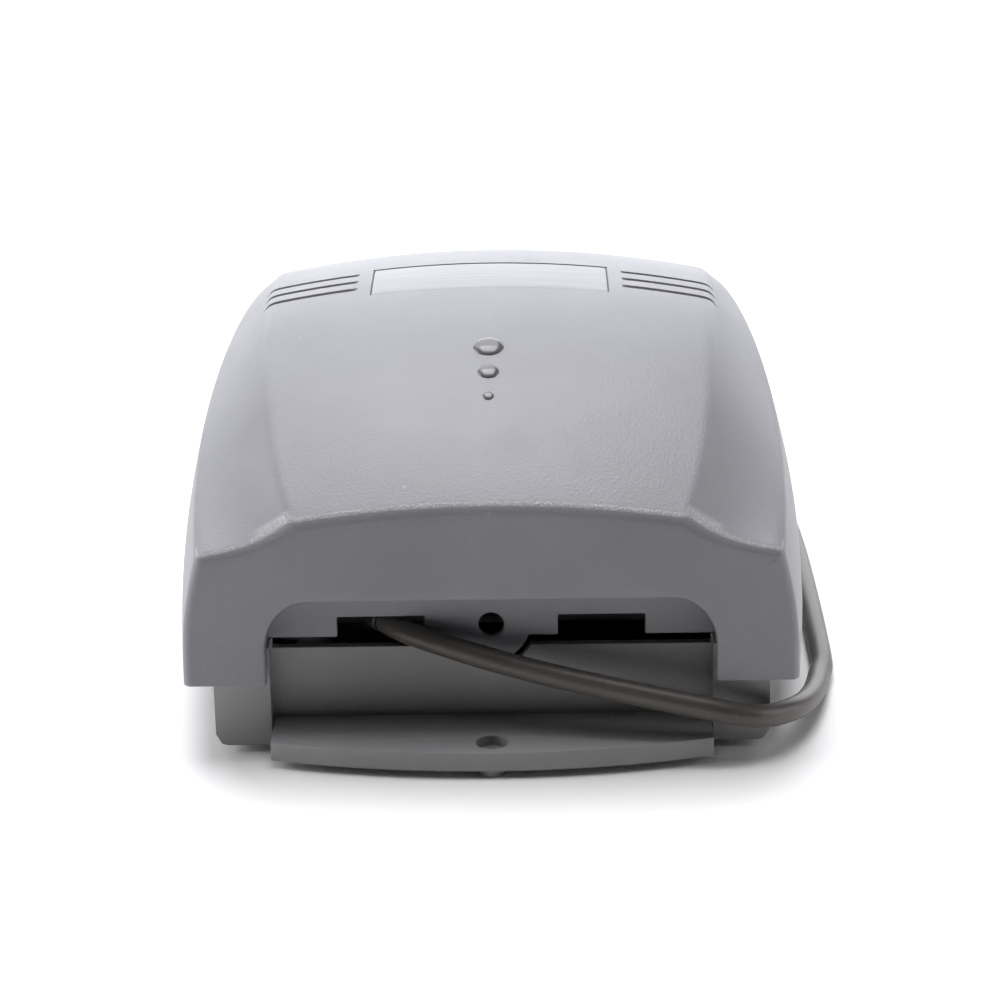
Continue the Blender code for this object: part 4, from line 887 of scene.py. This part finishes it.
def board_finish():
    """Green circuit board: glass weave under lacquer, squared copper traces and tinned pads."""
    f = Finish("circuit_board")
    weave = f.node("TexChecker", None, {"Vector": f.place(), "Scale": 1 / 0.0006}, 1)
    trace = f.cells(0.0050, "DISTANCE_TO_EDGE", f.stretched((1.0, 1.0, 0.0)), 0.55).step(0.085, 0.06)
    pad = f.cells(0.0050, "F1", f.stretched((1.0, 1.0, 0.0)), 0.55).step(0.17, 0.13)
    body = f.blend((0.012, 0.085, 0.040), (0.016, 0.105, 0.050), weave)
    body = f.blend(body, (0.035, 0.18, 0.075), trace)
    body = f.blend(body, (0.62, 0.60, 0.56), pad)
    return f.surface(body, pad.among(0.30, 0.22), metal=pad, normal=f.bump(trace + pad, 0.00003), coat=0.4)


def window_finish():
    """Smoked glossy display window with faint wipe marks."""
    f = Finish("display_window")
    wipe = f.noise(0.010, 4.0, 0.6, f.stretched((0.35, 1.0, 1.0)))
    body = f.blend((0.012, 0.015, 0.018), (0.022, 0.026, 0.030), wipe)
    return f.surface(body, wipe.among(0.10, 0.22), coat=0.3, coat_rough=0.06, level=0.3,
                     normal=f.bump(wipe, 0.000004))


def clear_finish():
    f = Finish("sensor_window")
    haze = f.noise(0.004, 3.0)
    body = f.blend((0.42, 0.46, 0.48), (0.60, 0.63, 0.64), haze.step(0.3, 0.7))
    return f.surface(body, haze.among(0.05, 0.18), coat=0.6)


FINISHES = {
    "cover_grey": cover_grey(),
    "drop_grey_painted_shade": drop_grey_painted_shade(),
    "base_grey": base_grey(),
    "badge": badge_finish(),
    "black_plastic": plain_moulded("black_plastic", (0.022, 0.022, 0.024), 0.42),
    "guide_plastic": plain_moulded("guide_plastic", (0.050, 0.050, 0.054), 0.36, worn=0.2),
    "display": window_finish(),
    "rubber": rubber_finish(),
    "steel": metal_finish("steel", (0.56, 0.56, 0.57), 0.28, (0.1, 1.0, 1.0)),
    "zinc": metal_finish("zinc", (0.47, 0.48, 0.50), 0.40),
    "brass": metal_finish("brass", (0.66, 0.50, 0.26), 0.34),
    "acetal": acetal_finish(),
    "circuit_board": board_finish(),
    "sensor_window": clear_finish(),
    "cord_pvc": cord_pvc(),
    "pin_nickel": metal_finish("pin_nickel", (0.60, 0.58, 0.54), 0.22, (0.1, 1.0, 1.0)),
}


def dress(piece, slot):
    """Gives a piece one finish and nothing else."""
    piece.data.materials.clear()
    piece.data.materials.append(FINISHES[slot])
    for polygon in piece.data.polygons:
        polygon.material_index = 0
    return piece


def stand_for(piece, body, slot, *nodes, finish=None):
    """A finished piece takes the place of CAD nodes, on their body, in a slot's finish."""
    dress(piece, finish or slot)
    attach(piece, body)
    if nodes:
        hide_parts(*nodes)
    return piece


# --- the pieces -------------------------------------------------------------------------------
SLOTS = {
    "cover_grey": "top_cover",
    "base_grey": "base_housing",
    "badge": "badge_plate",
    "black_plastic": "display_module left_button centre_button right_button processor_chip supply_transformer "
                     "cord_gland encoder_disc",
    "guide_plastic": "inlet_tray lower_guide upper_guide",
    "display": "display_window",
    "rubber": "foot_front_left foot_front_right foot_rear_left foot_rear_right drive_belt front_roller_left "
              "front_roller_right rear_roller_left rear_roller_right",
    "steel": "front_drive_shaft rear_drive_shaft motor_shaft hinge_pin_left hinge_pin_right",
    "zinc": "side_frame_left side_frame_right frame_screw_front_left frame_screw_front_right "
            "frame_screw_rear_left frame_screw_rear_right drive_motor supply_capacitor",
    "brass": "motor_pinion front_bush_left front_bush_right rear_bush_left rear_bush_right magnetic_head",
    "acetal": "drive_gear front_pulley rear_pulley front_pinch_roller rear_pinch_roller",
    "circuit_board": "main_board power_supply_board control_board lower_sensor_board upper_sensor_board",
    "sensor_window": "lower_sensor_window",
    "cord_pvc": "cord_tube cord_coil cord_tail plug_body",
    "pin_nickel": "plug_pin_left plug_pin_right",
}
for slot, names in SLOTS.items():
    for name in names.split():
        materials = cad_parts[name].data.materials
        if len(materials):
            for index in range(len(materials)):
                materials[index] = FINISHES[slot]
        else:
            materials.append(FINISHES[slot])

cover_shell, recess_lining, cover_drops = make_cover()
stand_for(cover_shell, "cover", "cover_grey", "top_cover")
stand_for(recess_lining, "cover", "cover_grey", "top_cover")
stand_for(make_plate(), "cover", "cover_grey", "top_cover")
stand_for(cover_drops, "cover", "cover_grey", "top_cover", finish="drop_grey_painted_shade")
stand_for(make_badge(), "cover", "badge", "badge_plate")
stand_for(eased_copy("base_housing", 0.0008), "base", "base_grey", "base_housing")
stand_for(eased_copy("inlet_tray", 0.0004), "base", "guide_plastic", "inlet_tray")

stand_for(cord, "base", "cord_pvc", "cord_tube", "cord_coil", "cord_tail")
stand_for(cord_tie, "base", "black_plastic")


def make_floor():
    """A pale table top."""
    mesh = bpy.data.meshes.new("floor")
    mesh.from_pydata([(-4, -4, 0), (4, -4, 0), (4, 4, 0), (-4, 4, 0)], [], [(0, 1, 2, 3)])
    floor = bpy.data.objects.new("floor", mesh)
    bpy.context.scene.collection.objects.link(floor)
    f = Finish("pale_table")
    cloud = f.noise(0.4, 2.0)
    mesh.materials.append(f.surface(f.blend((0.88, 0.875, 0.865), (0.91, 0.905, 0.895), cloud), 0.55))


make_floor()
world = bpy.data.worlds.new("studio")
world.use_nodes = True
world.node_tree.nodes["Background"].inputs[0].default_value = (0.95, 0.96, 1.0, 1.0)
world.node_tree.nodes["Background"].inputs[1].default_value = WORLD_LIGHT
bpy.context.scene.world = world
bpy.context.scene.view_settings.view_transform = "Standard"
